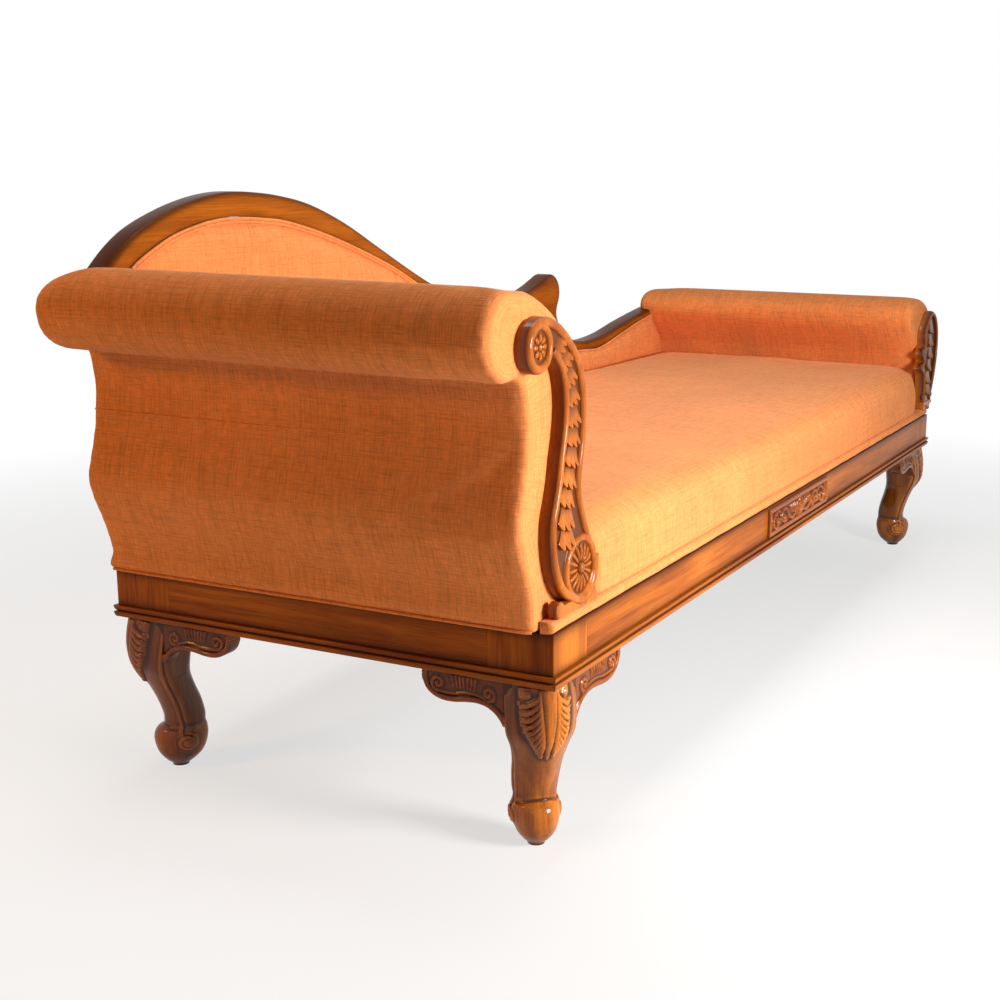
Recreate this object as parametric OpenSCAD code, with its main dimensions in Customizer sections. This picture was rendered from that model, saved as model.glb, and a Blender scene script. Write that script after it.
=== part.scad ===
// Scroll-end daybed with a humped back: a carved hardwood frame on cabriole legs, padded and covered.
// X runs along its length, head end at -X and foot end at +X. The open front faces -Y. The floor is Z = 0.

/* [Base] */
// Length of the base over its lower moulding
base_len = 2000; // [1700:10:2300]
// Width of the base over its lower moulding
base_w = 742; // [640:2:860]
// Height of the rails above the moulding
rail_h = 57; // [45:1:80]
// Thickness of the rails
rail_t = 28; // [22:1:34]
// Height of the lower moulding
mould_h = 19; // [14:1:26]
// How far the moulding stands out from the rails
mould_out = 5; // [3:0.5:8]
// How far the moulding reaches in under the rails
mould_in = 40; // [36:1:50]
// Side of the square corner posts
post_w = 98; // [92:1:120]

/* [Legs] */
// Height of the legs up to the moulding
leg_h = 243; // [180:1:320]
// Distance from the moulding's corner to the planed back faces of a leg
leg_block = 84; // [80:1:90]
// Length beyond the leg of the ear bracket along a long side
ear_len = 138; // [90:1:180]
// Length beyond the leg of the ear bracket along an end
end_ear_len = 124; // [90:1:170]
// Depth of an ear bracket
ear_h = 64; // [48:1:76]
// Thickness of an ear bracket
ear_t = 22; // [16:1:28]
// How far an ear bracket stands back from the moulding
ear_inset = 12; // [8:1:18]
// Diameter of the bolt that holds a leg
bolt_d = 10; // [8:1:12]

/* [Tablet] */
// Length of the carved tablet on the front rail
tablet_w = 340; // [240:2:420]
// Height of the carved tablet
tablet_h = 50; // [40:1:54]
// Width of the tablet's raised frame
tablet_frame = 8; // [5:1:12]

/* [Seat] */
// Height of the seat's top above the rails
seat_h = 120; // [90:1:150]
// How far the seat's top is crowned
seat_crown = 8; // [4:1:14]
// Radius of the seat's front edge
seat_round = 34; // [20:1:44]
// Thickness of the cover and wadding over the foam
cover_t = 18; // [12:1:26]
// Height of the fabric border on the front rail
border_h = 16; // [12:1:20]
// Width of a webbing strap
web_w = 50; // [38:1:60]

/* [Head end] */
// Height of the head end above the rails
head_h = 447; // [380:1:520]
// Depth of the head end at the seat
head_d = 112; // [100:1:128]
// How far the head roll stands out past the base
head_over = 123; // [100:1:140]
// Radius of the head roll
head_roll_r = 60; // [54:1:66]
// Thickness of the posts inside both padded ends
post_t = 26; // [20:1:30]
// Radius of the fabric's soft front edge
pillow_r = 22; // [14:1:30]
// Thickness of the scroll facing
facing_t = 24; // [18:1:26]
// Width of the facing's bead
bead_w = 10; // [8:1:12]
// How far the bead stands above the facing's channel
bead_h = 6; // [3:1:8]

/* [Foot end] */
// Height of the foot end above the rails
foot_h = 283; // [240:1:320]
// Depth of the foot end at the seat
foot_d = 42; // [36:1:56]
// How far the foot end stands out past the base
foot_over = 84; // [60:1:100]

/* [Back] */
// Height of the hump above the rails
back_h = 545; // [490:1:620]
// Thickness of the crest rail, front to back
back_t = 40; // [34:1:46]
// How far the inside back is crowned
back_crown = 9; // [4:1:14]
// Thickness of the posts inside the back
back_post_t = 20; // [16:1:24]
// Thickness of the outside back panel
panel_t = 4; // [3:0.5:5]
// Diameter of the piping along the crest rail
piping_d = 7; // [5:0.5:9]

/* [Hidden] */

wood = "#8a4512";
dark_wood = "#5e2c0c";
cloth = "#c9642a";
$fn = 48;

// Clearance between a fabric-covered piece and its neighbour
soft_gap = 0.3;
// Clearance round a tenon or a frame member in its pocket
fit_gap = 0.2;
// Overrun of a cutting tool past the face that it cuts
over = 2;

// Places that everything else follows
head_x = -base_len / 2 + (head_over - foot_over) / 2;
foot_x = head_x + base_len;
mid_x = (head_x + foot_x) / 2;
lip_y = base_w / 2;
face_y = lip_y - mould_out;
rail_z = leg_h + mould_h;
rail_top = rail_z + rail_h;
frame_h = rail_top - leg_h;

// A smooth curve through points (Catmull-Rom), steps pieces a span
function along(a, b, c, d, t) = 0.5 * ((2 * b) + (c - a) * t + (2 * a - 5 * b + 4 * c - d) * t * t
    + (3 * b - a - 3 * c + d) * t * t * t);
function open_curve(p, steps) = [for (i = [0 : len(p) - 2]) for (j = [0 : steps - 1])
    along(p[max(i - 1, 0)], p[i], p[i + 1], p[min(i + 2, len(p) - 1)], j / steps), p[len(p) - 1]];
function closed_curve(p, steps) = [for (i = [0 : len(p) - 1]) for (j = [0 : steps - 1])
    along(p[(i + len(p) - 1) % len(p)], p[i], p[(i + 1) % len(p)], p[(i + 2) % len(p)], j / steps)];
function reversed(p) = [for (i = [len(p) - 1 : -1 : 0]) p[i]];
function after_first(p) = [for (i = [1 : len(p) - 1]) p[i]];
function unit(v) = v / norm(v);
// The left-hand normal of a curve at point i
function side_of(p, i) = let (d = unit(p[min(i + 1, len(p) - 1)] - p[max(i - 1, 0)])) [-d[1], d[0]];
function moved_sideways(p, d) = [for (i = [0 : len(p) - 1]) p[i] + side_of(p, i) * d];
function arc_points(c, r, from, to, steps) = [for (i = [0 : steps])
    let (a = from + (to - from) * i / steps) c + r * [cos(a), sin(a)]];

// An outline in X and Z, made thick from y0 to y1
module upright(y0, y1) translate([0, y1, 0]) rotate([90, 0, 0]) linear_extrude(y1 - y0) children();
// An outline in Y and Z, made long from x0 to x1
module lengthwise(x0, x1) translate([x0, 0, 0]) rotate([90, 0, 90]) linear_extrude(x1 - x0) children();
module block(low, high) translate(low) cube(high - low);
// Puts a front head-end corner piece at any corner: side -1 is the head or the front
module at_corner(end, side) translate([end < 0 ? head_x : foot_x, side * lip_y, 0])
    mirror([end < 0 ? 0 : 1, 0, 0]) mirror([0, side < 0 ? 0 : 1, 0]) children();

// BASE FRAME

tenon_len = rail_t;
tenon_t = rail_t * 0.4;
tenon_h = rail_h * 0.6;

// A rail between two corner posts, with a tenon at both ends
module rail(from, to) {
    color(wood) {
        block([from, mould_out, rail_z], [to, mould_out + rail_t, rail_top]);
        tenon(from - tenon_len, to + tenon_len, 0);
    }
}
module tenon(from, to, gap) {
    block([from, mould_out + (rail_t - tenon_t) / 2 - gap, rail_z + (rail_h - tenon_h) / 2 - gap],
        [to, mould_out + (rail_t + tenon_t) / 2 + gap, rail_z + (rail_h + tenon_h) / 2 + gap]);
}
module front_rail() translate([0, -lip_y, 0]) rail(head_x + mould_out + post_w, foot_x - mould_out - post_w);
module back_rail() mirror([0, 1, 0]) front_rail();
module head_rail() translate([head_x, 0, 0]) rotate([0, 0, -90]) rail(post_w - face_y, face_y - post_w);
module foot_rail() translate([2 * mid_x, 0, 0]) mirror([1, 0, 0]) head_rail();

// Square corner block: its foot drops inside the moulding on to the leg, its sides take the tenons
module corner_post() {
    deep = mould_out + post_w;
    ledge = mould_out + mould_in + fit_gap;
    color(wood) difference() {
        block([mould_out, mould_out, leg_h], [deep, deep, rail_top]);
        block([0, 0, leg_h - over], [ledge, deep + over, rail_z]);
        block([0, 0, leg_h - over], [deep + over, ledge, rail_z]);
        tenon(deep - tenon_len - fit_gap, deep + over, fit_gap);
        mirror([1, -1, 0]) tenon(deep - tenon_len - fit_gap, deep + over, fit_gap);
        leg_bolt(fit_gap);
    }
}
module post_head_front() at_corner(-1, -1) corner_post();
module post_head_back() at_corner(-1, 1) corner_post();
module post_foot_front() at_corner(1, -1) corner_post();
module post_foot_back() at_corner(1, 1) corner_post();

// Lower moulding: a flat strip under the rails with a cove, a nose and a rounded lower edge
cove_share = 0.55;
nose_shares = [[0, 0.3], [0.5, 0.09], [0.87, 0.3], [1, 0.5]];
function moulding_profile() = concat([[mould_out + mould_in, 0]],
    [for (s = open_curve(nose_shares, 4)) [mould_out * (1 - s[0]), mould_h * s[1]]],
    [for (s = arc_points([1, 1], 1, 270, 180, 6))
        [mould_out * s[0], mould_h * (cove_share + (1 - cove_share) * s[1])]],
    [[mould_out + mould_in, mould_h]]);
module moulding(length, half) {
    reach = mould_out + mould_in + over;
    color(dark_wood) translate([0, -half, leg_h]) difference() {
        lengthwise(-length / 2, length / 2) polygon(moulding_profile());
        for (end = [-1, 1]) translate([end * length / 2, 0, -over]) rotate([0, 0, end < 0 ? 45 : 135])
            translate([-over, end < 0 ? 0 : -2 * reach, 0]) cube([2 * reach, 2 * reach, mould_h + 2 * over]);
    }
}
module moulding_front() translate([mid_x, 0, 0]) moulding(base_len, lip_y);
module moulding_back() mirror([0, 1, 0]) moulding_front();
module moulding_head() translate([mid_x, 0, 0]) rotate([0, 0, -90]) moulding(base_w, base_len / 2);
module moulding_foot() translate([2 * mid_x, 0, 0]) mirror([1, 0, 0]) moulding_head();

// Carved tablet in the middle of the front rail: a frame round a sunk field with a raised oval
tablet_field = mould_out * 0.5;
module carved_tablet() {
    low = rail_z + (rail_h - tablet_h) / 2;
    color(dark_wood) translate([mid_x, -lip_y, low]) {
        difference() {
            block([-tablet_w / 2, 0, 0], [tablet_w / 2, mould_out, tablet_h]);
            block([tablet_frame - tablet_w / 2, -over, tablet_frame],
                [tablet_w / 2 - tablet_frame, tablet_field, tablet_h - tablet_frame]);
        }
        translate([0, tablet_field, tablet_h / 2]) rotate([90, 0, 0])
            cylinder(h = tablet_field, r = (tablet_h / 2 - tablet_frame) * 0.85);
    }
}

dust_t = 1;
module cross_rail(x) color(wood)
    block([x - rail_t, rail_t - face_y, rail_z + dust_t], [x, face_y - rail_t, rail_z + rail_h * 0.6]);
module cross_rail_head() cross_rail(head_x + base_len * 0.36);
module cross_rail_foot() cross_rail(head_x + base_len * 0.68);

// Thin black cloth stapled on the moulding's ledge, cut round the corner posts
module dust_cover() {
    side = mould_out + rail_t + soft_gap;
    ledge = mould_out + mould_in + soft_gap;
    corner = mould_out + post_w + soft_gap;
    color("#222222") difference() {
        block([head_x + side, side - lip_y, rail_z], [foot_x - side, lip_y - side, rail_z + dust_t]);
        for (end = [-1, 1], back = [-1, 1]) at_corner(end, back)
            block([0, 0, rail_z - over], [corner, corner, rail_top]);
    }
}

// LEGS

bolt_in_leg = leg_h * 0.2;
bolt_in_post = frame_h * 0.66;
module leg_bolt(gap) {
    place = (mould_out + mould_in + leg_block) / 2;
    translate([place, place, leg_h - bolt_in_leg - gap])
        cylinder(h = bolt_in_leg + bolt_in_post + 2 * gap, d = bolt_d + 2 * gap);
}

// Rings of a cabriole leg from floor to top, in shares of its height and of its block:
// height, distance of the centre from the corner, half side, squareness, breadth across the diagonal
leg_ring_shares = [
    [0.000, 0.715, 0.130, 2.0, 1.00], [0.035, 0.718, 0.160, 2.0, 1.00], [0.060, 0.722, 0.270, 2.0, 0.92],
    [0.120, 0.725, 0.405, 2.0, 0.90], [0.190, 0.728, 0.440, 2.0, 0.90], [0.250, 0.748, 0.415, 2.0, 0.92],
    [0.285, 0.783, 0.358, 2.1, 0.98], [0.340, 0.778, 0.338, 2.3, 1.02], [0.430, 0.722, 0.330, 2.4, 1.04],
    [0.520, 0.643, 0.332, 2.4, 1.06], [0.610, 0.570, 0.358, 2.5, 1.10], [0.700, 0.532, 0.418, 2.9, 1.12],
    [0.800, 0.542, 0.460, 3.4, 1.08], [0.900, 0.570, 0.468, 4.0, 1.03], [1.000, 0.610, 0.455, 4.5, 1.00]];
leg_points = 24;
leg_plane_share = 0.62;
function signed_power(v, n) = sign(v) * pow(abs(v), n);
function leg_ring(s) = [for (i = [0 : leg_points - 1]) let (
    a = 360 * (i + 0.5) / leg_points,
    x = s[2] * signed_power(cos(a), 2 / s[3]), y = s[2] * signed_power(sin(a), 2 / s[3]),
    in = (x + y) / 2, across = (x - y) / 2 * s[4],
    limit = s[0] > leg_plane_share ? 1 : 2)
    [leg_block * min(s[1] + in + across, limit), leg_block * min(s[1] + in - across, limit), leg_h * s[0]]];
module leg() {
    rows = open_curve(leg_ring_shares, 2);
    n = leg_points;
    top = len(rows) - 1;
    foot = leg_block * rows[0][1];
    knee = leg_block * rows[top][1];
    last = (top + 1) * n;
    color(wood) difference() {
        polyhedron(points = concat([for (s = rows) each leg_ring(s)], [[foot, foot, 0], [knee, knee, leg_h]]),
            faces = [for (i = [0 : n - 1]) let (j = (i + 1) % n) each concat(
                [[last, i, j], [last + 1, top * n + j, top * n + i]],
                [for (k = [0 : top - 1]) each [[k * n + i, (k + 1) * n + i, (k + 1) * n + j],
                    [k * n + i, (k + 1) * n + j, k * n + j]]])]);
        leg_bolt(fit_gap);
    }
}
module leg_head_front() at_corner(-1, -1) leg();
module leg_head_back() at_corner(-1, 1) leg();
module leg_foot_front() at_corner(1, -1) leg();
module leg_foot_back() at_corner(1, 1) leg();

module leg_bolts() color("silver") for (end = [-1, 1], side = [-1, 1]) at_corner(end, side) leg_bolt(0);

// Ear bracket: a scrolled board whose lower edge carries the line of the knee along the rail
ear_shares = [[0, 1], [0.03, 0.89], [0.10, 0.74], [0.20, 0.63], [0.32, 0.585], [0.46, 0.60], [0.60, 0.64],
    [0.74, 0.64], [0.86, 0.57], [0.95, 0.43], [1.00, 0.23], [1.00, 0]];
module ear(length) {
    color(wood) translate([leg_block, ear_inset, leg_h]) mirror([0, 0, 1]) upright(0, ear_t)
        polygon(concat([for (s = open_curve(ear_shares, 3)) [length * s[0], ear_h * s[1]]], [[0, 0]]));
}
module ears() {
    ear(ear_len);
    mirror([1, -1, 0]) ear(end_ear_len);
}
module ears_head_front() at_corner(-1, -1) ears();
module ears_head_back() at_corner(-1, 1) ears();
module ears_foot_front() at_corner(1, -1) ears();
module ears_foot_back() at_corner(1, 1) ears();

// SEAT

web_t = 1.5;
web_z = rail_top + web_t;
hessian_t = 1;
hessian_z = web_z + web_t;
seat_z = hessian_z + hessian_t + soft_gap;
seat_top = rail_top + seat_h;
pad_front = face_y - facing_t;
back_front = face_y - back_t;
web_across = 12;
web_along = 4;
seat_head_x = head_x + head_d + soft_gap;
seat_foot_x = foot_x - foot_d - soft_gap;

// Straps tacked to the rails' tops, the lengthwise ones lying on the crosswise ones
module seat_webbing() {
    from_x = head_x + head_d + web_w * 0.2;
    to_x = foot_x - foot_d - web_w * 0.2;
    low_y = border_d - lip_y + over;
    high_y = face_y - back_t;
    color("#c8b48a") {
        for (i = [0 : web_across - 1]) let (x = from_x + (to_x - from_x - web_w) * i / (web_across - 1))
            block([x, low_y, rail_top], [x + web_w, high_y, rail_top + web_t]);
        for (i = [0 : web_along - 1]) let (y = low_y + (high_y - low_y - web_w) * (i + 0.5) / web_along)
            block([from_x, y, web_z], [to_x, y + web_w, web_z + web_t]);
    }
}
module seat_hessian() color("#b79a6a") block([seat_head_x, border_d - lip_y + over, hessian_z],
    [seat_foot_x, back_front - soft_gap, hessian_z + hessian_t]);

foam_in = cover_t * 1.6;
foam_back = back_front - foam_in - cover_t;
foam_top = seat_top - cover_t - seat_crown;
module foam_block(gap) block([seat_head_x + foam_in - gap, foam_in - pad_front - gap, seat_z - gap],
    [seat_foot_x - foam_in + gap, foam_back + gap, foam_top + gap]);
module seat_foam() color("#efe2b8") foam_block(0);

// Seat profile across: drawn in over the border, swelling at the front, crowned on top
seat_swell_share = 0.25;
function seat_across() = let (front = face_y - border_in, back = back_front - soft_gap) concat(
    [[back, seat_z], [-front, seat_z]],
    arc_points([seat_round * seat_swell_share - face_y, rail_top + border_h + seat_h * 0.3],
        seat_round * seat_swell_share, 225, 180, 4),
    arc_points([seat_round - face_y, seat_top - seat_crown - seat_round], seat_round, 180, 90, 10),
    [for (i = [1 : 14]) let (t = i / 14, from = seat_round - face_y)
        [from + (back - from) * t, seat_top - seat_crown * pow(2 * t - 1, 2)]]);
function seat_along() = let (from = seat_head_x, to = seat_foot_x) concat([[from, seat_z]],
    [for (i = [0 : 16]) let (t = i / 16) [from + (to - from) * t, seat_top - seat_crown * pow(2 * t - 1, 4)]],
    [[to, seat_z]]);
border_in = mould_out * 0.8;
border_d = mould_out + border_in + border_h;
module seat_cover() {
    color(cloth) difference() {
        intersection() {
            lengthwise(seat_head_x, seat_foot_x) polygon(seat_across());
            upright(-lip_y, lip_y) polygon(seat_along());
        }
        foam_block(soft_gap);
        block([head_x, -lip_y - over, 0],
            [foot_x, border_d - lip_y + soft_gap, rail_top + border_h + soft_gap]);
        block([head_x, -lip_y - over, 0],
            [head_x + facing_reach + soft_gap, soft_gap - pad_front, seat_top + over]);
        block([foot_x - foot_facing_reach - soft_gap, -lip_y - over, 0],
            [foot_x, soft_gap - pad_front, seat_top + over]);
    }
}
// Fabric-covered strip along the front rail, rounded on its outer edge
module seat_border() {
    r = border_h / 2;
    color(cloth) translate([0, -lip_y, rail_top]) lengthwise(head_x + mould_out, foot_x - mould_out)
        polygon(concat([[border_d, 0]], arc_points([mould_out + r, r], r, 270, 90, 10),
            [[border_d, border_h]]));
}

// HEAD END

// A place on the head end, in shares of its depth and height
function head_at(s) = [head_x + head_d * s[0], rail_top + head_h * s[1]];
roll_c = [head_x - head_over + head_roll_r, rail_top + head_h - head_roll_r];
pole_r = head_roll_r * 0.38;

// Outer and inner outline of the padded body, from the rail up to the roll
head_outer_shares = [[-0.055, 0], [-0.115, 0.045], [-0.135, 0.10], [-0.230, 0.17], [-0.345, 0.24],
    [-0.420, 0.30], [-0.425, 0.35], [-0.360, 0.41], [-0.290, 0.47], [-0.240, 0.54], [-0.215, 0.62],
    [-0.260, 0.69], [-0.340, 0.75]];
head_top_shares = [[-0.10, 0.990], [0.15, 0.968], [0.43, 0.935], [0.68, 0.890], [0.86, 0.825], [0.95, 0.74],
    [0.99, 0.66], [0.995, 0.58], [0.965, 0.51], [0.930, 0.45], [0.905, 0.38], [0.925, 0.32], [1, 0.262]];
function head_outer() = [for (s = open_curve(head_outer_shares, 3)) head_at(s)];
function head_inner() = [for (s = open_curve(head_top_shares, 3)) head_at(s)];
function head_body() = concat(head_outer(), [roll_c, [roll_c[0], roll_c[1] + head_roll_r]], head_inner(),
    [[head_x + head_d, rail_top]]);

// Inside frame: an S-shaped post follows the body's middle and ends in a disc that holds the pole
head_post_share = [0.24, 0.76];
head_neck_shares = [[0.12, 0.93], [0.50, 0.875]];
function post_side(outer, inner, share, rows) = [for (i = [0 : rows]) let (v = 0.76 * i / rows)
    head_at([lookup(v, outer) + (lookup(v, inner) - lookup(v, outer)) * share, v])];
function by_height(p) = [for (s = p) [s[1], s[0]]];
module head_post_2d(gap) {
    outer = by_height(head_outer_shares);
    inner = by_height(concat([[1, 0]], reversed(head_top_shares)));
    polygon(concat([for (p = post_side(outer, inner, head_post_share[0], 16)) p - [gap, 0]],
        arc_points(roll_c, head_roll_r * 0.68 + gap, 300, 70, 18),
        [for (s = head_neck_shares) head_at(s) + [gap, gap]],
        [for (p = reversed(post_side(outer, inner, head_post_share[1], 16))) p + [gap, 0]]));
}
end_back = face_y - panel_t;
module head_post(y0) color(wood) upright(y0, y0 + post_t) head_post_2d(0);
module head_post_front() head_post(-pad_front);
module head_post_back() head_post(end_back - post_t);
head_from = post_t - pad_front;
head_to = end_back - post_t;
module head_pole_solid(gap) translate([roll_c[0], head_to, roll_c[1]]) rotate([90, 0, 0])
    cylinder(h = head_to - head_from, r = pole_r + gap);
module head_pole() color(wood) head_pole_solid(0);
head_mid_shares = [[0.10, 0.44], [0.52, 0.56]];
head_low_shares = [[0.22, 0.01], [0.72, 0.14]];
module head_bar(shares, gap) {
    low = head_at(shares[0]);
    high = head_at(shares[1]);
    block([low[0] - gap, head_from, low[1] - gap], [high[0] + gap, head_to, high[1] + gap]);
}
module head_mid_rail() color(wood) head_bar(head_mid_shares, 0);
module head_bottom_rail() color(wood) head_bar(head_low_shares, 0);

// Padded body in one with its fabric: an S outside, a soft shoulder inside, its front edge rounded
// Its outer corners are rounded in plan, drawn in from the fullest part of the S
function head_plan() = let (right = head_x + head_d + over, left = head_x - head_d * 0.43 + pillow_r) concat(
    [[right, face_y]], arc_points([left, face_y - pillow_r], pillow_r, 90, 180, 6),
    arc_points([left, pillow_r - pad_front], pillow_r, 180, 270, 6), [[right, -pad_front]]);
module head_pad() {
    color(cloth) difference() {
        intersection() {
            upright(-pad_front, face_y) polygon(head_body());
            translate([0, 0, rail_top]) linear_extrude(head_h + over) polygon(head_plan());
        }
        translate([roll_c[0], face_y + over, roll_c[1]]) rotate([90, 0, 0])
            cylinder(h = 2 * lip_y, r = head_roll_r + soft_gap);
        upright(-pad_front - over, post_t - pad_front + fit_gap) head_post_2d(fit_gap);
        upright(head_to - fit_gap, end_back + fit_gap) head_post_2d(fit_gap);
        head_bar(head_mid_shares, fit_gap);
        head_bar(head_low_shares, fit_gap);
    }
}
// Roll over the pole, its ends rounded
module head_roll() {
    front_r = head_roll_r * 0.25;
    length = face_y + pad_front;
    color(cloth) difference() {
        translate([roll_c[0], face_y, roll_c[1]]) rotate([90, 0, 0]) rotate_extrude() polygon(concat([[0, 0]],
            arc_points([head_roll_r - pillow_r, pillow_r], pillow_r, 270, 360, 6),
            arc_points([head_roll_r - front_r, length - front_r], front_r, 0, 90, 6), [[0, length]]));
        upright(-pad_front - over, post_t - pad_front + fit_gap) head_post_2d(fit_gap);
        upright(head_to - fit_gap, end_back + fit_gap) head_post_2d(fit_gap);
        head_pole_solid(fit_gap);
    }
}

// Scroll facing: an S board with beads along both edges, a volute ring above and a larger ring below
facing_z = rail_top + border_h;
facing_h = head_h * 0.905 - border_h;
facing_w = head_d * 1.85;
function facing_at(s) = [head_x + facing_w * s[0], facing_z + facing_h * s[1]];
facing_left_shares = [[-0.03, 0.901], [0.06, 0.859], [0.13, 0.807], [0.185, 0.750], [0.213, 0.688],
    [0.213, 0.620], [0.180, 0.537], [0.110, 0.459], [0.030, 0.386], [-0.020, 0.308], [0.010, 0.235],
    [0.100, 0.141], [0.230, 0.073], [0.400, 0.040]];
facing_right_shares = [[-0.164, 0.995], [-0.05, 0.998], [0.10, 0.984], [0.25, 0.938], [0.345, 0.875],
    [0.420, 0.807], [0.460, 0.724], [0.474, 0.636], [0.455, 0.557], [0.430, 0.469], [0.405, 0.386],
    [0.440, 0.313], [0.525, 0.240], [0.625, 0.183], [0.660, 0.115]];
facing_reach = facing_w * 0.67;
volute_c = facing_at([-0.164, 0.911]);
volute_r = head_roll_r * 0.57;
flower_r = head_d * 0.41;
bracket_h = bead_w;
flower_c = [head_x + facing_w * 0.435, facing_z + bracket_h + flower_r];
function facing_left() = [for (s = open_curve(facing_left_shares, 3)) facing_at(s)];
function facing_right() = [for (s = open_curve(facing_right_shares, 3)) facing_at(s)];
module band(p, d) polygon(concat(p, reversed(moved_sideways(p, d))));
module ring(c, r) translate(c) difference() {
    circle(r = r);
    circle(r = r - bead_w);
}
petals = 8;
flutes = 16;
module head_facing() {
    back = -pad_front;
    field = back - facing_t + bead_h;
    color(wood) {
        upright(field, back) {
            polygon(concat(facing_left(), reversed(facing_right())));
            translate(volute_c) circle(r = volute_r);
            translate(flower_c) circle(r = flower_r);
        }
        upright(back - facing_t, field) {
            band(facing_left(), bead_w);
            band(facing_right(), -bead_w);
            ring(volute_c, volute_r);
            ring(flower_c, flower_r);
        }
        translate([volute_c[0], field, volute_c[1]]) rotate([90, 0, 0]) boss(volute_r - bead_w, petals);
        translate([flower_c[0], field, flower_c[1]]) rotate([90, 0, 0]) boss(flower_r - bead_w, flutes);
    }
}
// A carved flower: petals round a button
module boss(r, count) {
    cylinder(h = bead_h * 0.8, r = r * 0.3);
    for (i = [0 : count - 1]) rotate([0, 0, 360 * i / count]) translate([r * 0.64, 0, 0])
        cylinder(h = bead_h * 0.5, r = r * 0.62 * sin(180 / count));
}

// Scroll bracket that cradles the facing's foot and stands on the border
bracket_shares = [[-0.03, 0], [-0.055, 0.3], [-0.045, 0.62], [0, 0.78], [0.08, 0.66], [0.20, 0.42]];
module head_bracket() {
    color(wood) upright(-pad_front - facing_t, -pad_front) difference() {
        polygon(concat([for (s = open_curve(bracket_shares, 3))
            [head_x + facing_w * s[0] + mould_out * 3, facing_z + bracket_h * 2.2 * s[1]]],
            [[flower_c[0], facing_z + bracket_h],
            [head_x + facing_reach - bead_w, facing_z + bracket_h * 1.7],
            [head_x + facing_reach - bead_w / 2, facing_z]]));
        translate(flower_c) circle(r = flower_r + fit_gap);
        polygon(concat(facing_left(), reversed(facing_right())));
    }
}

// FOOT END

function foot_at(s) = [foot_x + foot_over * s[0], rail_top + foot_h * s[1]];
// The padded body's outline from the seat side over the roll to the outside
foot_body_shares = [[-0.50, 0.43], [-0.60, 0.53], [-0.86, 0.63], [-1.20, 0.73], [-1.42, 0.82], [-1.42, 0.90],
    [-1.22, 0.965], [-0.85, 0.995], [-0.40, 1.0], [0.10, 0.98], [0.55, 0.93], [0.83, 0.84], [0.97, 0.73],
    [1.00, 0.62], [0.97, 0.50], [0.86, 0.38], [0.62, 0.25], [0.36, 0.14], [0.14, 0.06], [0.06, 0]];
function foot_body() = concat([[foot_x - foot_d, rail_top]],
    [for (s = open_curve(foot_body_shares, 3)) foot_at(s)]);
foot_post_shares = [[-0.28, 0], [-0.28, 0.45], [-0.42, 0.58], [-0.80, 0.72], [-0.90, 0.84],
    [-0.60, 0.92], [-0.10, 0.93], [0.40, 0.86], [0.68, 0.74], [0.72, 0.60], [0.60, 0.44], [0.34, 0.28],
    [0.10, 0.16], [-0.04, 0]];
module foot_post_2d(gap) {
    p = [for (s = open_curve(foot_post_shares, 3)) foot_at(s)];
    polygon(moved_sideways(p, gap));
}
module foot_post(y0) color(wood) upright(y0, y0 + post_t) foot_post_2d(0);
module foot_post_front() foot_post(-pad_front);
foot_inset = pillow_r * 0.36;
foot_end_back = end_back - foot_inset;
foot_to = foot_end_back - post_t;
module foot_post_back() foot_post(foot_to);
foot_pole_c = foot_at([-0.25, 0.78]);
module foot_pole_solid(gap) translate([foot_pole_c[0], foot_to, foot_pole_c[1]])
    rotate([90, 0, 0]) cylinder(h = foot_to - head_from, r = pole_r + gap);
module foot_pole() color(wood) foot_pole_solid(0);
foot_low_shares = [[-0.26, 0.01], [-0.04, 0.18]];
module foot_bar(gap) {
    low = foot_at(foot_low_shares[0]);
    high = foot_at(foot_low_shares[1]);
    block([low[0] - gap, head_from, low[1] - gap], [high[0] + gap, foot_to, high[1] + gap]);
}
module foot_bottom_rail() color(wood) foot_bar(0);
function foot_plan() = let (left = foot_x - foot_over * 1.42 + pillow_r, right = foot_x + foot_over,
    back = face_y - foot_inset) concat(
    arc_points([right - pillow_r, back - pillow_r], pillow_r, 0, 90, 6),
    arc_points([left, back - pillow_r], pillow_r, 90, 180, 6),
    [[left - pillow_r, -pad_front], [right, -pad_front]]);
module foot_pad() {
    color(cloth) difference() {
        intersection() {
            upright(-pad_front, face_y - foot_inset) polygon(foot_body());
            translate([0, 0, rail_top]) linear_extrude(foot_h + over) polygon(foot_plan());
        }
        upright(-pad_front - over, post_t - pad_front + fit_gap) foot_post_2d(fit_gap);
        upright(foot_to - fit_gap, foot_end_back + fit_gap) foot_post_2d(fit_gap);
        foot_pole_solid(fit_gap);
        foot_bar(fit_gap);
    }
}
// Facing: a leaf-shaped board with a plain bead outside and two C-scrolls on the seat side
foot_inner_shares = [[-0.52, 0.12], [-0.50, 0.24], [-0.60, 0.36], [-0.88, 0.42], [-0.70, 0.50], [-0.82, 0.56],
    [-0.64, 0.61], [-0.66, 0.70], [-0.46, 0.78], [-0.15, 0.86], [0.12, 0.905]];
foot_outer_shares = [[0.12, 0.905], [0.42, 0.87], [0.66, 0.80], [0.82, 0.70], [0.88, 0.58], [0.84, 0.475],
    [0.72, 0.365], [0.55, 0.26], [0.38, 0.18], [0.28, 0.12]];
foot_field_shares = [[-0.40, 0.15], [-0.38, 0.26], [-0.44, 0.36], [-0.56, 0.44], [-0.52, 0.53], [-0.48, 0.61],
    [-0.46, 0.69], [-0.32, 0.76], [-0.08, 0.82], [0.14, 0.86], [0.38, 0.82], [0.58, 0.755], [0.70, 0.67],
    [0.75, 0.58], [0.71, 0.485], [0.60, 0.38], [0.44, 0.28], [0.27, 0.20], [0.16, 0.15]];
foot_facing_reach = foot_over * 0.9;
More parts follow.
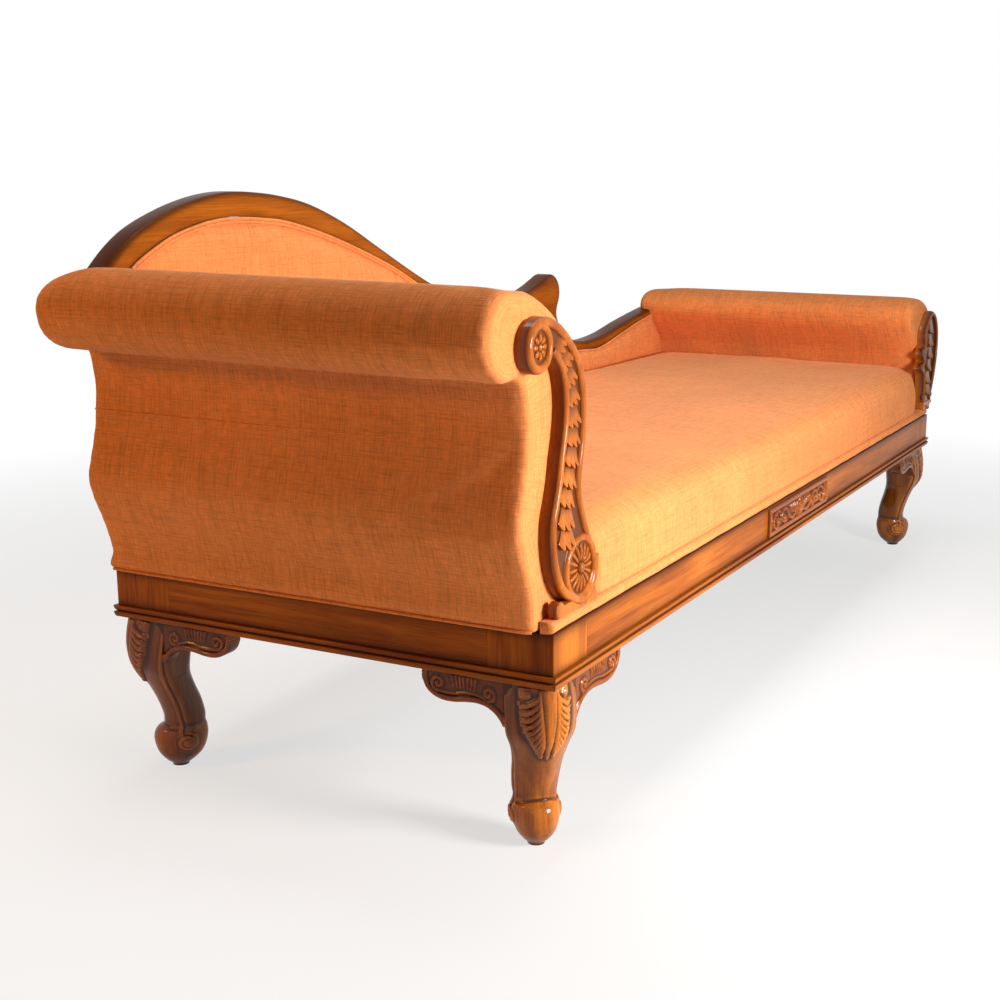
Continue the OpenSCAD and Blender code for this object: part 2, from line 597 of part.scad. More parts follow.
module foot_facing() {
    back = -pad_front;
    color(wood) difference() {
        upright(back - facing_t, back) polygon(concat([for (s = open_curve(foot_inner_shares, 3)) foot_at(s)],
            [for (s = open_curve(after_first(foot_outer_shares), 3)) foot_at(s)]));
        upright(back - facing_t - over, back - facing_t + bead_h)
            polygon([for (s = closed_curve(foot_field_shares, 2)) foot_at(s)]);
    }
}
module foot_bracket() {
    low = rail_top + border_h;
    high = foot_at([0, 0.12])[1];
    step = (high - low) * 0.45;
    color(wood) upright(-pad_front - facing_t, -pad_front) polygon([for (s = [[-0.56, low],
        [-0.56, high], [0.32, high], [0.42, low + step], [0.20, low + step], [0.14, low]])
        [foot_x + foot_over * s[0], s[1]]]);
}

// BACK

// A place on the back, in shares of the base's length and of the hump's height
function back_at(s) = [head_x + base_len * s[0], rail_top + back_h * s[1]];
crest_top_shares = [[-0.0120, 0.800], [0.0080, 0.862], [0.0310, 0.912], [0.0640, 0.956], [0.0950, 0.984],
    [0.1200, 0.997], [0.1370, 1.000], [0.1560, 0.998], [0.1900, 0.987], [0.2330, 0.958], [0.2820, 0.897],
    [0.3330, 0.813], [0.3820, 0.732], [0.4250, 0.667], [0.4700, 0.611], [0.5200, 0.576], [0.5650, 0.566],
    [0.6000, 0.579], [0.6325, 0.605], [0.6575, 0.636]];
crest_under_shares = [[0.0020, 0.760], [0.0160, 0.812], [0.0350, 0.850], [0.0600, 0.888], [0.0860, 0.912],
    [0.1130, 0.927], [0.1400, 0.929], [0.1690, 0.923], [0.1990, 0.911], [0.2450, 0.873], [0.2960, 0.818],
    [0.3500, 0.750], [0.3870, 0.692], [0.4250, 0.630], [0.4700, 0.566], [0.5200, 0.523], [0.5700, 0.505],
    [0.6200, 0.500], [0.6575, 0.480]];
tip_top_shares = [[0.6575, 0.636], [0.6680, 0.644], [0.6790, 0.648], [0.6900, 0.641], [0.6985, 0.613],
    [0.7035, 0.576], [0.7025, 0.545], [0.6970, 0.515], [0.6950, 0.480], [0.7010, 0.435], [0.7160, 0.388],
    [0.7350, 0.358], [0.7600, 0.346]];
tip_under_shares = [[0.6575, 0.480], [0.6700, 0.440], [0.6850, 0.395], [0.7050, 0.350], [0.7300, 0.318],
    [0.7600, 0.311]];
low_top_shares = [[0.7600, 0.346], [0.7865, 0.349], [0.8205, 0.361], [0.8700, 0.392], [0.9245, 0.420],
    [0.9600, 0.436], [0.9800, 0.444]];
low_under_shares = [[0.7600, 0.311], [0.7840, 0.305], [0.8090, 0.314], [0.8340, 0.332], [0.8860, 0.369],
    [0.9200, 0.390], [0.9600, 0.410], [0.9800, 0.420]];
function back_curve(shares) = [for (s = open_curve(shares, 3)) back_at(s)];
// The crest runs on into the roll at its head end
function crest_top() = concat([roll_c], back_curve(crest_top_shares));
function crest_under() = concat([head_at([0.3, 0.8])], back_curve(crest_under_shares));

module grown_head_end() {
    polygon(moved_sideways(reversed(head_body()), -soft_gap));
    translate(roll_c) circle(r = head_roll_r + soft_gap);
}
module grown_foot_end() polygon(moved_sideways(foot_body(), soft_gap));
module back_strip(top, under) upright(back_front, face_y) difference() {
    polygon(concat(top, reversed(under)));
    grown_head_end();
    grown_foot_end();
}
module crest_rail() color(wood) back_strip(crest_top(), crest_under());
module scroll_tip() color(wood) back_strip(back_curve(tip_top_shares), back_curve(tip_under_shares));
module low_rail() color(wood) back_strip(back_curve(low_top_shares), back_curve(low_under_shares));

// Everything below the crest, the tip and the low rail, between the two padded ends
module under_back(gap) difference() {
    polygon(concat([for (p = concat(crest_under(), back_curve(tip_under_shares),
        back_curve(low_under_shares))) p - [0, gap]],
        [[foot_x, rail_top + soft_gap], [head_x, rail_top + soft_gap]]));
    grown_head_end();
    grown_foot_end();
}
back_post_w = post_w * 0.45;
back_post_front = face_y - panel_t - back_post_t;
module back_post(x) {
    color(wood) upright(back_post_front, back_post_front + back_post_t) intersection() {
        under_back(0);
        translate([x - back_post_w / 2, 0]) square([back_post_w, rail_top + back_h]);
    }
}
module back_post_head() back_post(head_x + head_d + back_post_w / 2 + over);
module back_post_mid() back_post(head_x + base_len * 0.685);
module back_post_foot() back_post(foot_x - foot_over * 1.45 - back_post_w / 2);

// Inside back: a pad crowned towards the sitter
function back_plan() = let (from = head_x, to = foot_x, rear = back_post_front - soft_gap) concat(
    [[to, rear], [from, rear]],
    [for (i = [0 : 24]) let (t = i / 24)
        [from + (to - from) * t, back_front - back_crown * (1 - pow(2 * t - 1, 4))]]);
module back_pad() {
    color(cloth) difference() {
        intersection() {
            upright(0, face_y) under_back(soft_gap);
            translate([0, 0, rail_top]) linear_extrude(back_h) polygon(back_plan());
        }
        block([head_x, 0, rail_top], [foot_x, back_front + soft_gap, seat_top + seat_crown + soft_gap]);
    }
}
module back_panel() color(cloth) upright(face_y - panel_t + soft_gap, face_y) under_back(soft_gap);

// Double piping along the lower edge of the crest and the low rail, on their front face
module back_piping() {
    p = concat(crest_under(), back_curve(after_first(tip_under_shares)),
        back_curve(after_first(low_under_shares)));
    color(cloth) upright(back_front - piping_d / 2, back_front) difference() {
        band(p, piping_d);
        grown_head_end();
        grown_foot_end();
    }
}

front_rail();
back_rail();
head_rail();
foot_rail();
post_head_front();
post_head_back();
post_foot_front();
post_foot_back();
moulding_front();
moulding_back();
moulding_head();
moulding_foot();
carved_tablet();
leg_head_front();
leg_head_back();
leg_foot_front();
leg_foot_back();
ears_head_front();
ears_head_back();
ears_foot_front();
ears_foot_back();
leg_bolts();
cross_rail_head();
cross_rail_foot();
dust_cover();
seat_webbing();
seat_hessian();
seat_foam();
seat_cover();
seat_border();
head_facing();
head_bracket();
head_post_front();
head_post_back();
head_pole();
head_mid_rail();
head_bottom_rail();
head_pad();
head_roll();
foot_facing();
foot_bracket();
foot_post_front();
foot_post_back();
foot_pole();
foot_bottom_rail();
foot_pad();
crest_rail();
scroll_tip();
low_rail();
back_post_head();
back_post_mid();
back_post_foot();
back_pad();
back_panel();
back_piping();
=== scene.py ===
import math

import bmesh
import bpy
import numpy as np
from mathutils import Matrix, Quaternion, Vector
from mathutils.bvhtree import BVHTree


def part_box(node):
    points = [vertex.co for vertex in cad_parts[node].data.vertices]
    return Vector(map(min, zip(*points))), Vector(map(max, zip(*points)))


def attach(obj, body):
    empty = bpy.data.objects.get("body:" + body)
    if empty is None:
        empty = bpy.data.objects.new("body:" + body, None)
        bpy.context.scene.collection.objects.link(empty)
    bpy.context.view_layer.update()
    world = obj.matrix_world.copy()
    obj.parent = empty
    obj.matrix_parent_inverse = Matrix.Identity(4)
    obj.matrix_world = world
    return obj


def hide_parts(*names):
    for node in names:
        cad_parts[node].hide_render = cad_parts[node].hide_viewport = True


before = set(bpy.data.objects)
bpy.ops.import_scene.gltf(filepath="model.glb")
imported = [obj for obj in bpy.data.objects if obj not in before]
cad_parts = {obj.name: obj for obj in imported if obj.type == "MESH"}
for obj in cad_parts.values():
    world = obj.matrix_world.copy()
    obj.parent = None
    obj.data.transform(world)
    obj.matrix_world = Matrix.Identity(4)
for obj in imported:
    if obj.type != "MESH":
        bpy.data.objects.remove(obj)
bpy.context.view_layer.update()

mm = 0.001

# STUDIO
# The daybed stands on a plain white floor. The camera looks past its head end, from a little above the
# hump; its place was solved from the straight edges of the base. The key light is in front, a warm one
# behind the head end's shoulder, and a weak one overhead.
eye = Vector((-2.6139, -1.2075, 0.9063))
eye_azimuth, eye_pitch, eye_roll = math.radians(-63.876), math.radians(12.729), 0.005
aim = Vector((-math.sin(eye_azimuth) * math.cos(eye_pitch), math.cos(eye_azimuth) * math.cos(eye_pitch),
              -math.sin(eye_pitch)))
camera = bpy.data.objects.new("camera", bpy.data.cameras.new("camera"))
bpy.context.scene.collection.objects.link(camera)
camera.data.sensor_width = 36
camera.data.lens = 54.2
camera.data.shift_x, camera.data.shift_y = -0.081, 0.0054
camera.location = eye
camera.rotation_mode = "QUATERNION"
camera.rotation_quaternion = aim.to_track_quat("-Z", "Y") @ Quaternion((0, 0, 1), eye_roll)
bpy.context.scene.camera = camera
bpy.context.scene.view_settings.view_transform = "Standard"


def lamp(name, place, target, size, watts, colour, spread=180):
    """A square soft lamp that looks at a target, narrowed by a grid to a spread in degrees."""
    light = bpy.data.objects.new(name, bpy.data.lights.new(name, "AREA"))
    light.data.shape, light.data.size, light.data.spread = "SQUARE", size, math.radians(spread)
    light.data.energy, light.data.color = watts, colour
    light.location = place
    light.rotation_mode = "QUATERNION"
    light.rotation_quaternion = (Vector(target) - Vector(place)).to_track_quat("-Z", "Y")
    bpy.context.scene.collection.objects.link(light)


lamp("key_light", (-0.8, -2.1, 0.85), (-0.5, -0.2, 0.42), 0.6, 37, (1, 0.97, 0.95), 130)
lamp("head_light", (-2.5, 1.6, 1.45), (-0.9, 0.1, 0.45), 0.4, 17.5, (1, 0.5, 0.06))
lamp("top_light", (-0.1, 0.2, 3.0), (-0.1, 0.05, 0.4), 1.6, 10.6, (1, 1, 1), 70)


def feed(node, inputs):
    """Gives a node's inputs their values. An input that is given a socket is linked to it."""
    for name, value in inputs.items():
        if isinstance(value, bpy.types.NodeSocket):
            node.id_data.links.new(value, node.inputs[name])
        else:
            node.inputs[name].default_value = value
    return node


def add(tree, kind, inputs=None, **traits):
    """A new node of a tree, with its traits set and its inputs fed."""
    node = tree.nodes.new(kind)
    for trait, value in traits.items():
        setattr(node, trait, value)
    return feed(node, inputs or {})


def reckoned(tree, operation, a, b):
    """The result of a sum of two values in a node tree."""
    return add(tree, "ShaderNodeMath", {0: a, 1: b}, operation=operation).outputs[0]


def ranged(tree, value, span, least=0.0, most=1.0):
    """A value that goes from the least to the most while another crosses its span."""
    return add(tree, "ShaderNodeMapRange", {"Value": value, "From Min": span[0], "From Max": span[1],
                                            "To Min": least, "To Max": most}).outputs["Result"]


def new_paint(name):
    """A material, its node tree and its surface."""
    material = bpy.data.materials.new(name)
    material.use_nodes = True
    return material, material.node_tree, material.node_tree.nodes["Principled BSDF"]


def white_for_camera(tree, surface, amount):
    """White of strength 1 where the camera or a reflection looks, and the surface for all other light."""
    rays = add(tree, "ShaderNodeLightPath").outputs
    mirrored = reckoned(tree, "MAXIMUM", rays["Is Glossy Ray"], rays["Is Transmission Ray"])
    seen = reckoned(tree, "MAXIMUM", rays["Is Camera Ray"], mirrored)
    kind = "ShaderNodeBackground" if surface.type == "BACKGROUND" else "ShaderNodeEmission"
    white = add(tree, kind, {"Color": (1, 1, 1, 1)})
    share = reckoned(tree, "MULTIPLY", seen, amount)
    return add(tree, "ShaderNodeMixShader", {0: share, 1: surface.outputs[0], 2: white.outputs[0]}).outputs[0]


world = bpy.data.worlds.new("white_studio")
world.use_nodes = True
sky_nodes = world.node_tree.nodes
sky = feed(sky_nodes["Background"], {"Color": (1, 0.97, 0.93, 1), "Strength": 0.06})
feed(sky_nodes["World Output"], {"Surface": white_for_camera(world.node_tree, sky, 1.0)})
bpy.context.scene.world = world

floor_half, clear_floor, white_floor = 14.0, 0.8, 2.6
floor = bpy.data.objects.new("floor", bpy.data.meshes.new("floor"))
floor.data.from_pydata([(x * floor_half, y * floor_half, 0) for x, y in ((-1, -1), (1, -1), (1, 1), (-1, 1))],
                       [], [(0, 1, 2, 3)])
floor_white, floor_tree, floor_paint = new_paint("white_floor")
floor.data.materials.append(floor_white)
feed(floor_paint, {"Base Color": (0.86, 0.85, 0.84, 1), "Roughness": 0.8})
floor_place = add(floor_tree, "ShaderNodeTexCoord").outputs["Object"]
floor_reach = add(floor_tree, "ShaderNodeVectorMath", {0: floor_place}, operation="LENGTH").outputs["Value"]
floor_fade = ranged(floor_tree, floor_reach, (clear_floor, white_floor), 0.62, 1.0)
feed(floor_tree.nodes["Material Output"], {"Surface": white_for_camera(floor_tree, floor_paint, floor_fade)})
bpy.context.scene.collection.objects.link(floor)


# BASE RAILS AND CORNER POSTS
# Four solid hardwood rails tenoned into square corner posts. The faces are a clear amber, darkened along the
# top and bottom edges by an edge stain and by painted shade, most under the fabric's overhang at the top. The
# edges are eased by hand.
def noisy(tree, place, stretch, detail, shift=(0, 0, 0), roughness=0.5, distortion=0.0, flat=False):
    """Noise over a stretched and shifted place."""
    moved = add(tree, "ShaderNodeMapping", {"Vector": place, "Location": shift, "Scale": stretch})
    return add(tree, "ShaderNodeTexNoise", {
        "Vector": moved.outputs["Vector"], "Scale": 1, "Detail": detail, "Roughness": roughness,
        "Distortion": distortion}, noise_dimensions="2D" if flat else "3D").outputs["Fac"]


def ramped(tree, value, stops, interpolation="LINEAR"):
    """A colour that follows a value through stops, each a place and a colour."""
    node = add(tree, "ShaderNodeValToRGB", {"Fac": value})
    node.color_ramp.interpolation = interpolation
    for i, (at, colour) in enumerate(stops):
        stop = node.color_ramp.elements[i] if i < 2 else node.color_ramp.elements.new(at)
        stop.position, stop.color = at, (*colour, 1)
    return node.outputs["Color"]


def bumped(tree, height, strength, distance):
    """A surface direction that follows a height."""
    bump = add(tree, "ShaderNodeBump", {"Height": height, "Strength": strength, "Distance": distance})
    return bump.outputs["Normal"]


def polished_wood(name, along, honey, umber, band=None, coat=0.06):
    """Oiled and lacquered hardwood: grain runs along the axis, each point's share darkens it with dark stain
    and painted shade, and a band of two heights darkens the edges that lie there with edge stain and painted
    shade.
    Carved pieces have a thicker coat."""
    material, tree, lacquer = new_paint(name)
    place = add(tree, "ShaderNodeTexCoord").outputs["Object"]

    def grain(fine, long, detail, distortion):
        stretch = [long if axis == along else fine for axis in "XYZ"]
        return noisy(tree, place, stretch, detail, roughness=0.6, distortion=distortion)

    def mixed(mode, share, below, above):
        return add(tree, "ShaderNodeMix", {"Factor": share, "A": below, "B": above}, data_type="RGBA",
                   blend_type=mode).outputs["Result"]

    figure = ramped(tree, grain(34, 2.4, 6, 0.7), [(0.3, umber), (0.62, honey)])
    pores = ranged(tree, grain(420, 14, 2, 0), (0.38, 0.52), 0.62, 1.0)
    patina = ramped(tree, grain(7, 3, 3, 0.4), [(0.36, (0.62, 0.5, 0.42)), (0.6, (1, 1, 1))])
    colour = mixed("MULTIPLY", 0.7, mixed("MULTIPLY", 0.55, figure, pores), patina)
    dark_stain_and_shade = (*(0.28 * c for c in umber), 1)
    # The band darkens the rails' top and bottom edges with edge stain and painted shade.
    if band:
        height = add(tree, "ShaderNodeSeparateXYZ", {0: place}).outputs["Z"]
        edge_stain_and_shade = ((0, 0.85), (0.09, 0.5), (0.24, 0.0), (0.72, 0.0), (0.9, 0.6), (1, 1.0))
        edge_darkness = ramped(tree, ranged(tree, height, band), [(at, (dark,) * 3) for at, dark in edge_stain_and_shade], "B_SPLINE")
        colour = mixed("MIX", edge_darkness, colour, dark_stain_and_shade)
    # Each point's share of dark stain and painted shade.
    stain_and_shade = add(tree, "ShaderNodeAttribute", attribute_name="stain_and_shade").outputs["Fac"]
    feed(lacquer, {"Base Color": mixed("MIX", stain_and_shade, colour, dark_stain_and_shade), "Roughness": 0.34,
                   "Specular IOR Level": 0.04, "Coat Weight": coat, "Coat Roughness": 0.1,
                   "Normal": bumped(tree, grain(300, 10, 3, 0), 0.1, 0.0006)})
    return material


honey = (0.54, 0.155, 0.014)
umber = (0.23, 0.052, 0.007)
rail_low, rail_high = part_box("front_rail")[0].z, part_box("front_rail")[1].z
rail_wood = polished_wood("amber_rail_wood", "X", honey, umber, (rail_low, rail_high))
end_rail_wood = polished_wood("amber_end_rail_wood", "Y", honey, umber, (rail_low, rail_high))
post_wood = polished_wood("amber_post_wood", "Z", honey, umber, (rail_low, rail_high))


def eased(node, material, ease):
    """A copy of a CAD node with its sharp edges eased by a small radius. It stands for the node."""
    mesh = bmesh.new()
    mesh.from_mesh(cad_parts[node].data)
    bmesh.ops.remove_doubles(mesh, verts=mesh.verts, dist=0.00002)
    bmesh.ops.dissolve_limit(mesh, angle_limit=math.radians(1), verts=mesh.verts, edges=mesh.edges)
    piece = bpy.data.objects.new(node + "_eased", bpy.data.meshes.new(node + "_eased"))
    mesh.to_mesh(piece.data)
    mesh.free()
    bpy.context.scene.collection.objects.link(piece)
    piece.data.materials.append(material)
    bevel = piece.modifiers.new("ease", "BEVEL")
    bevel.width, bevel.segments, bevel.limit_method, bevel.angle_limit = ease, 2, "ANGLE", math.radians(40)
    for face in piece.data.polygons:
        face.use_smooth = False
    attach(piece, "root")
    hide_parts(node)


rail_ease = 1.2 * mm
for node in ("front_rail", "back_rail"):
    eased(node, rail_wood, rail_ease)
for node in ("head_rail", "foot_rail"):
    eased(node, end_rail_wood, rail_ease)
for node in ("post_head_front", "post_head_back", "post_foot_front", "post_foot_back"):
    eased(node, post_wood, rail_ease)


# LOWER MOULDING
# Four mitred strips glued and pinned under the rails: a small nose below, a cove, and a lip under the rail.
# Dark stain and painted shade fill the cove, and the mitres show as fine dark lines.
def curve_through(points, steps):
    """A smooth line through points, with so many steps from each to the next."""
    line = np.asarray(points, float)
    lead = np.vstack([line[:1], line, line[-1:]])
    a, b, c, d = (part[:, None, :] for part in (lead[:-3], lead[1:-2], lead[2:-1], lead[3:]))
    t = (np.arange(steps) / steps)[None, :, None]
    curve = 0.5 * (2 * b + (c - a) * t + (2 * a - 5 * b + 4 * c - d) * t ** 2
                   + (3 * b - a - 3 * c + d) * t ** 3)
    return np.vstack([curve.reshape(-1, line.shape[1]), line[-1:]])


def skin(rings):
    """A closed shape over rings of equally many points, filled at both ends."""
    rings = np.asarray(rings, float)
    rows, count, _ = rings.shape
    index = np.arange(rows * count).reshape(rows, count)
    turned = np.roll(index, -1, axis=1)
    faces = np.stack([index[:-1], turned[:-1], turned[1:], index[1:]], axis=-1).reshape(-1, 4).tolist()
    return rings.reshape(-1, 3), faces + [index[0, ::-1].tolist(), index[-1].tolist()]


def made(name, shapes, material, angle=35, stain_and_shade=None):
    """A piece from closed shapes, turned outwards and smooth except over sharper edges. A list of shares
    gives each point its share of dark stain and painted shade."""
    points = np.vstack([shape[0] for shape in shapes])
    faces, start = [], 0
    for shape in shapes:
        faces += [[start + i for i in face] for face in shape[1]]
        start += len(shape[0])
    mesh = bpy.data.meshes.new(name)
    mesh.from_pydata(points.tolist(), [], faces)
    form = bmesh.new()
    form.from_mesh(mesh)
    bmesh.ops.recalc_face_normals(form, faces=form.faces[:])
    for edge in form.edges:
        edge.smooth = len(edge.link_faces) == 2 and edge.calc_face_angle() < math.radians(angle)
    for face in form.faces:
        face.smooth = True
    form.to_mesh(mesh)
    form.free()
    mesh.materials.append(material)
    if stain_and_shade is not None:
        dark_stain_and_shade = mesh.attributes.new("stain_and_shade", "FLOAT", "POINT")
        dark_stain_and_shade.data.foreach_set("value", np.clip(stain_and_shade, 0, 1).astype(np.float32))
    piece = bpy.data.objects.new(name, mesh)
    bpy.context.scene.collection.objects.link(piece)
    return piece


def arc(x, z, radius, first, last, count):
    """Flat points round a centre between two angles in degrees. The radius may change on the way."""
    turn = np.radians(np.linspace(first, last, count))
    return np.column_stack([x + radius * np.cos(turn), z + radius * np.sin(turn)])


base_low, base_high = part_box("moulding_front")[0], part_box("moulding_back")[1]
mould_out, mould_deep, mould_high = 5 * mm, 45 * mm, base_high.z - base_low.z
mould_nose = curve_through([(1, 0.3), (0.5, 0.09), (0.13, 0.3), (0, 0.5)], 5) * (mould_out, mould_high)
mould_cove = arc(0, 0, 1, 270, 180, 9) * (mould_out, 0.45 * mould_high) + (mould_out, mould_high)
mould_profile = np.vstack([[(mould_deep, 0)], mould_nose, mould_cove, [(mould_deep, mould_high)]])
# Each profile point's share of dark stain and painted shade: deepest in the cove, lighter on the nose.
mould_stain_and_shade = np.array([0.7] + [0.5, 0.4] + [0.12] * (len(mould_nose) - 5) + [0.25] * 3
                       + [0.95, 0.9, 0.75, 0.6, 0.5, 0.4, 0.3, 0.15, 0.1] + [0.3])
mitre_line, mitre_end = 1.2 * mm, 3 * mm
mould_wood = {"front": polished_wood("amber_moulding_wood", "X", honey, umber),
              "head": polished_wood("amber_end_moulding_wood", "Y", honey, umber)}
mould_corners = {"front": ((-1, -1), (1, -1)), "back": ((1, 1), (-1, 1)), "head": ((-1, 1), (-1, -1)),
                 "foot": ((1, -1), (1, 1))}
for side, ends in mould_corners.items():
    rings, dark_stain_and_shade = [], []
    first, last = (np.array([(base_low if end[i] < 0 else base_high)[i] for i in (0, 1)]) for end in ends)
    reach = np.linalg.norm(last - first)
    for run in (0, mitre_line, mitre_end, reach / 2, reach - mitre_end, reach - mitre_line, reach):
        ring = []
        for deep, high in mould_profile:
            low_end, high_end = first - np.array(ends[0]) * deep, last - np.array(ends[1]) * deep
            ring.append((*(low_end + (high_end - low_end) * run / reach), base_low.z + high))
        rings.append(ring)
        edge = max(0, 1 - min(run, reach - run) / (2.5 * mm))
        dark_stain_and_shade.append(np.maximum(mould_stain_and_shade, 0.85 * edge))
    wood = mould_wood["head" if side in ("head", "foot") else "front"]
    moulding = made("moulding_" + side + "_run", [skin(rings)], wood, 50, np.concatenate(dark_stain_and_shade))
    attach(moulding, "root")
    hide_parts("moulding_" + side)


# CARVED TABLET
# A small carved panel glued on the middle of the front rail: a moulded frame, an upright husk in the middle
# and a leafy scroll to each side. It is cut in low relief, and dark stain and painted shade lie in its
# ground.
def stroked(places, strokes):
    """Height of gouge-rounded strokes over flat places. A stroke: a path, its half-widths, its heights."""
    height = np.zeros(len(places))
    for path, widths, heights in strokes:
        line = curve_through(path, 7)
        run = np.linspace(0, 1, len(line))
        wide = np.interp(run, np.linspace(0, 1, len(widths)), widths)
        tall = np.interp(run, np.linspace(0, 1, len(heights)), heights)
        gap = np.linalg.norm(places[:, None, :] - line[None], axis=2) / wide
        nearest = gap.argmin(axis=1)
        near = gap[np.arange(len(places)), nearest]
        height = np.maximum(height, tall[nearest] * np.sqrt(np.clip(1 - near ** 2, 0, 1)))
    return height


def relief(places, height, back):
    """A carved board: a grid of flat places raised by a height, closed by side walls and a flat back."""
    rows, count = height.shape
    front = np.dstack([places, height]).reshape(-1, 3)
    index = np.arange(rows * count).reshape(rows, count)
    rim = np.concatenate([index[0], index[1:, -1], index[-1, -2::-1], index[-2:0:-1, 0]])
    rear = front[rim].copy()
    rear[:, 2] = back
    behind = np.arange(len(rim)) + rows * count
    faces = np.stack([index[:-1, :-1], index[:-1, 1:], index[1:, 1:], index[1:, :-1]], -1)
    faces = faces.reshape(-1, 4).tolist()
    faces += np.stack([rim, np.roll(rim, -1), np.roll(behind, -1), behind], -1).tolist()
    return np.vstack([front, rear]), faces + [behind.tolist()]


def hollowed(height, width):
    """How far each place of a carved grid lies below the wood round it, as a share of dark stain and painted
    shade.
    """
    blurred = height.copy()
    reach = np.arange(-3 * width, 3 * width + 1)
    weight = np.exp(-0.5 * (reach / width) ** 2)
    weight /= weight.sum()
    for axis in (0, 1):
        blurred = sum(w * np.roll(blurred, r, axis) for r, w in zip(reach, weight))
    return blurred - height


tablet_low, tablet_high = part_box("carved_tablet")
tablet_wide, tablet_tall = tablet_high.x - tablet_low.x, tablet_high.z - tablet_low.z
tablet_frame, tablet_rim, tablet_ground = 8 * mm, 3.5 * mm, 1.2 * mm
scroll_strokes = [([(6, -17), (12, -9), (13, 0), (12, 9), (6, 17)], (1.5, 3, 1.5), (3, 4.5, 3)),
                  ([(15, -16), (21, -8), (22, 0), (21, 8), (15, 16)], (1.2, 2.6, 1.2), (2.5, 4, 2.5)),
                  ([(24, -10), (40, -14), (58, -8), (70, 4), (84, 12), (98, 9), (103, -1), (97, -9), (88, -7),
                    (87, 0), (92, 2)], (2.5, 3.6, 3.4, 3.0, 2.6, 2.2), (3, 4.5, 5, 5, 4.5, 5)),
                  ([(106, 8), (120, 14), (137, 10), (147, -1), (141, -13), (127, -14), (120, -5), (125, 2),
                    (132, 0)], (2.2, 3.2, 3.2, 2.8, 2.2), (3, 4.5, 4.8, 4.8, 5)),
                  ([(153, -15), (158, -5), (158, 5), (153, 15)], (1.5, 2.8, 1.5), (2.5, 4, 2.5))]
for i in range(4):
    scroll_strokes.append(([(26 + 9 * i, -5 + 2.2 * i), (31 + 9 * i, 5 + 0.8 * i), (30 + 9 * i, 14)],
                           (3.2, 2.8, 1.2), (3, 4.4, 2.6)))
for i in range(2):
    scroll_strokes.append(([(72 + 9 * i, -6), (77 + 9 * i, -12), (75 + 9 * i, -16)], (2.6, 2.6, 1.4),
                           (2.5, 3.8, 2.4)))
for i in range(3):
    scroll_strokes.append(([(108 + 4 * i, -3 - 3.6 * i), (104 + 4 * i, -9 - 2 * i)], (2.4, 1.4), (3.6, 2.4)))
tablet_strokes = [([(0, -18), (0, 0), (0, 18)], (1.5, 5, 1.5), (3, 5.5, 3))]
for path, widths, heights in scroll_strokes:
    for side in (-1, 1):
        tablet_strokes.append(([(side * x, z) for x, z in path], widths, heights))
tablet_x, tablet_z = np.meshgrid(np.linspace(-tablet_wide / 2, tablet_wide / 2, 300),
                                 np.linspace(-tablet_tall / 2, tablet_tall / 2, 48), indexing="ij")
tablet_places = np.dstack([tablet_x, tablet_z])
tablet_carving = stroked(tablet_places.reshape(-1, 2) / mm, tablet_strokes).reshape(tablet_x.shape) * mm
tablet_edge = np.minimum(tablet_wide / 2 - abs(tablet_x), tablet_tall / 2 - abs(tablet_z))
tablet_bead = 2 * mm * np.sqrt(np.clip(1 - (2 * tablet_edge / tablet_frame - 1) ** 2, 0, 1))
tablet_height = np.where(tablet_edge < tablet_frame, tablet_rim + tablet_bead, tablet_ground + tablet_carving)
tablet_shape, tablet_faces = relief(tablet_places, tablet_height, 0)
# Dark stain and painted shade, deeper in the carved hollows.
tablet_stain_and_shade = hollowed(tablet_height, 3).ravel() / (1.1 * mm) + 0.35
tablet_points = np.column_stack([tablet_shape[:, 0] + (tablet_low.x + tablet_high.x) / 2,
                                 tablet_high.y - tablet_shape[:, 2],
                                 tablet_shape[:, 1] + (tablet_low.z + tablet_high.z) / 2])
tablet = made("scroll_tablet", [(tablet_points, tablet_faces)],
              polished_wood("carved_tablet_wood", "X", (0.44, 0.12, 0.014), umber, coat=0.35), 60,
              np.append(tablet_stain_and_shade, np.full(len(tablet_points) - tablet_stain_and_shade.size, 0.6)))
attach(tablet, "root")
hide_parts("carved_tablet")


# CABRIOLE LEGS
# Four turned-out legs carved from the solid: an acanthus leaf hangs down each knee, a groove runs down each
# side to a small scroll, and the leg ends in a ball on a low pad. The shafts are browner than the knees and
# balls; dark stain and painted shade lie in the hollows, and painted shade darkens the sides and the lower
# ball.
leg_tall, leg_block, leg_plane = 243 * mm, 84 * mm, 0.62
leg_points, knee_turn = 176, 225


def rise(value, start, width):
    """A straight rise from 0 at the start to 1 at a width from it. With a negative width it is a fall."""
    return np.clip((value - start) / width, 0, 1)


def bell(value, middle, width):
    """A soft hump of height 1 over its middle."""
    return np.exp(-((value - middle) / width) ** 2)


def coil(x, z, radius, turns, start, way):
    """A flat spiral path that winds in to its middle from a start in degrees."""
    return arc(x, z, radius * np.linspace(1, 0.18, 14), start, start + way * turns * 360, 14)


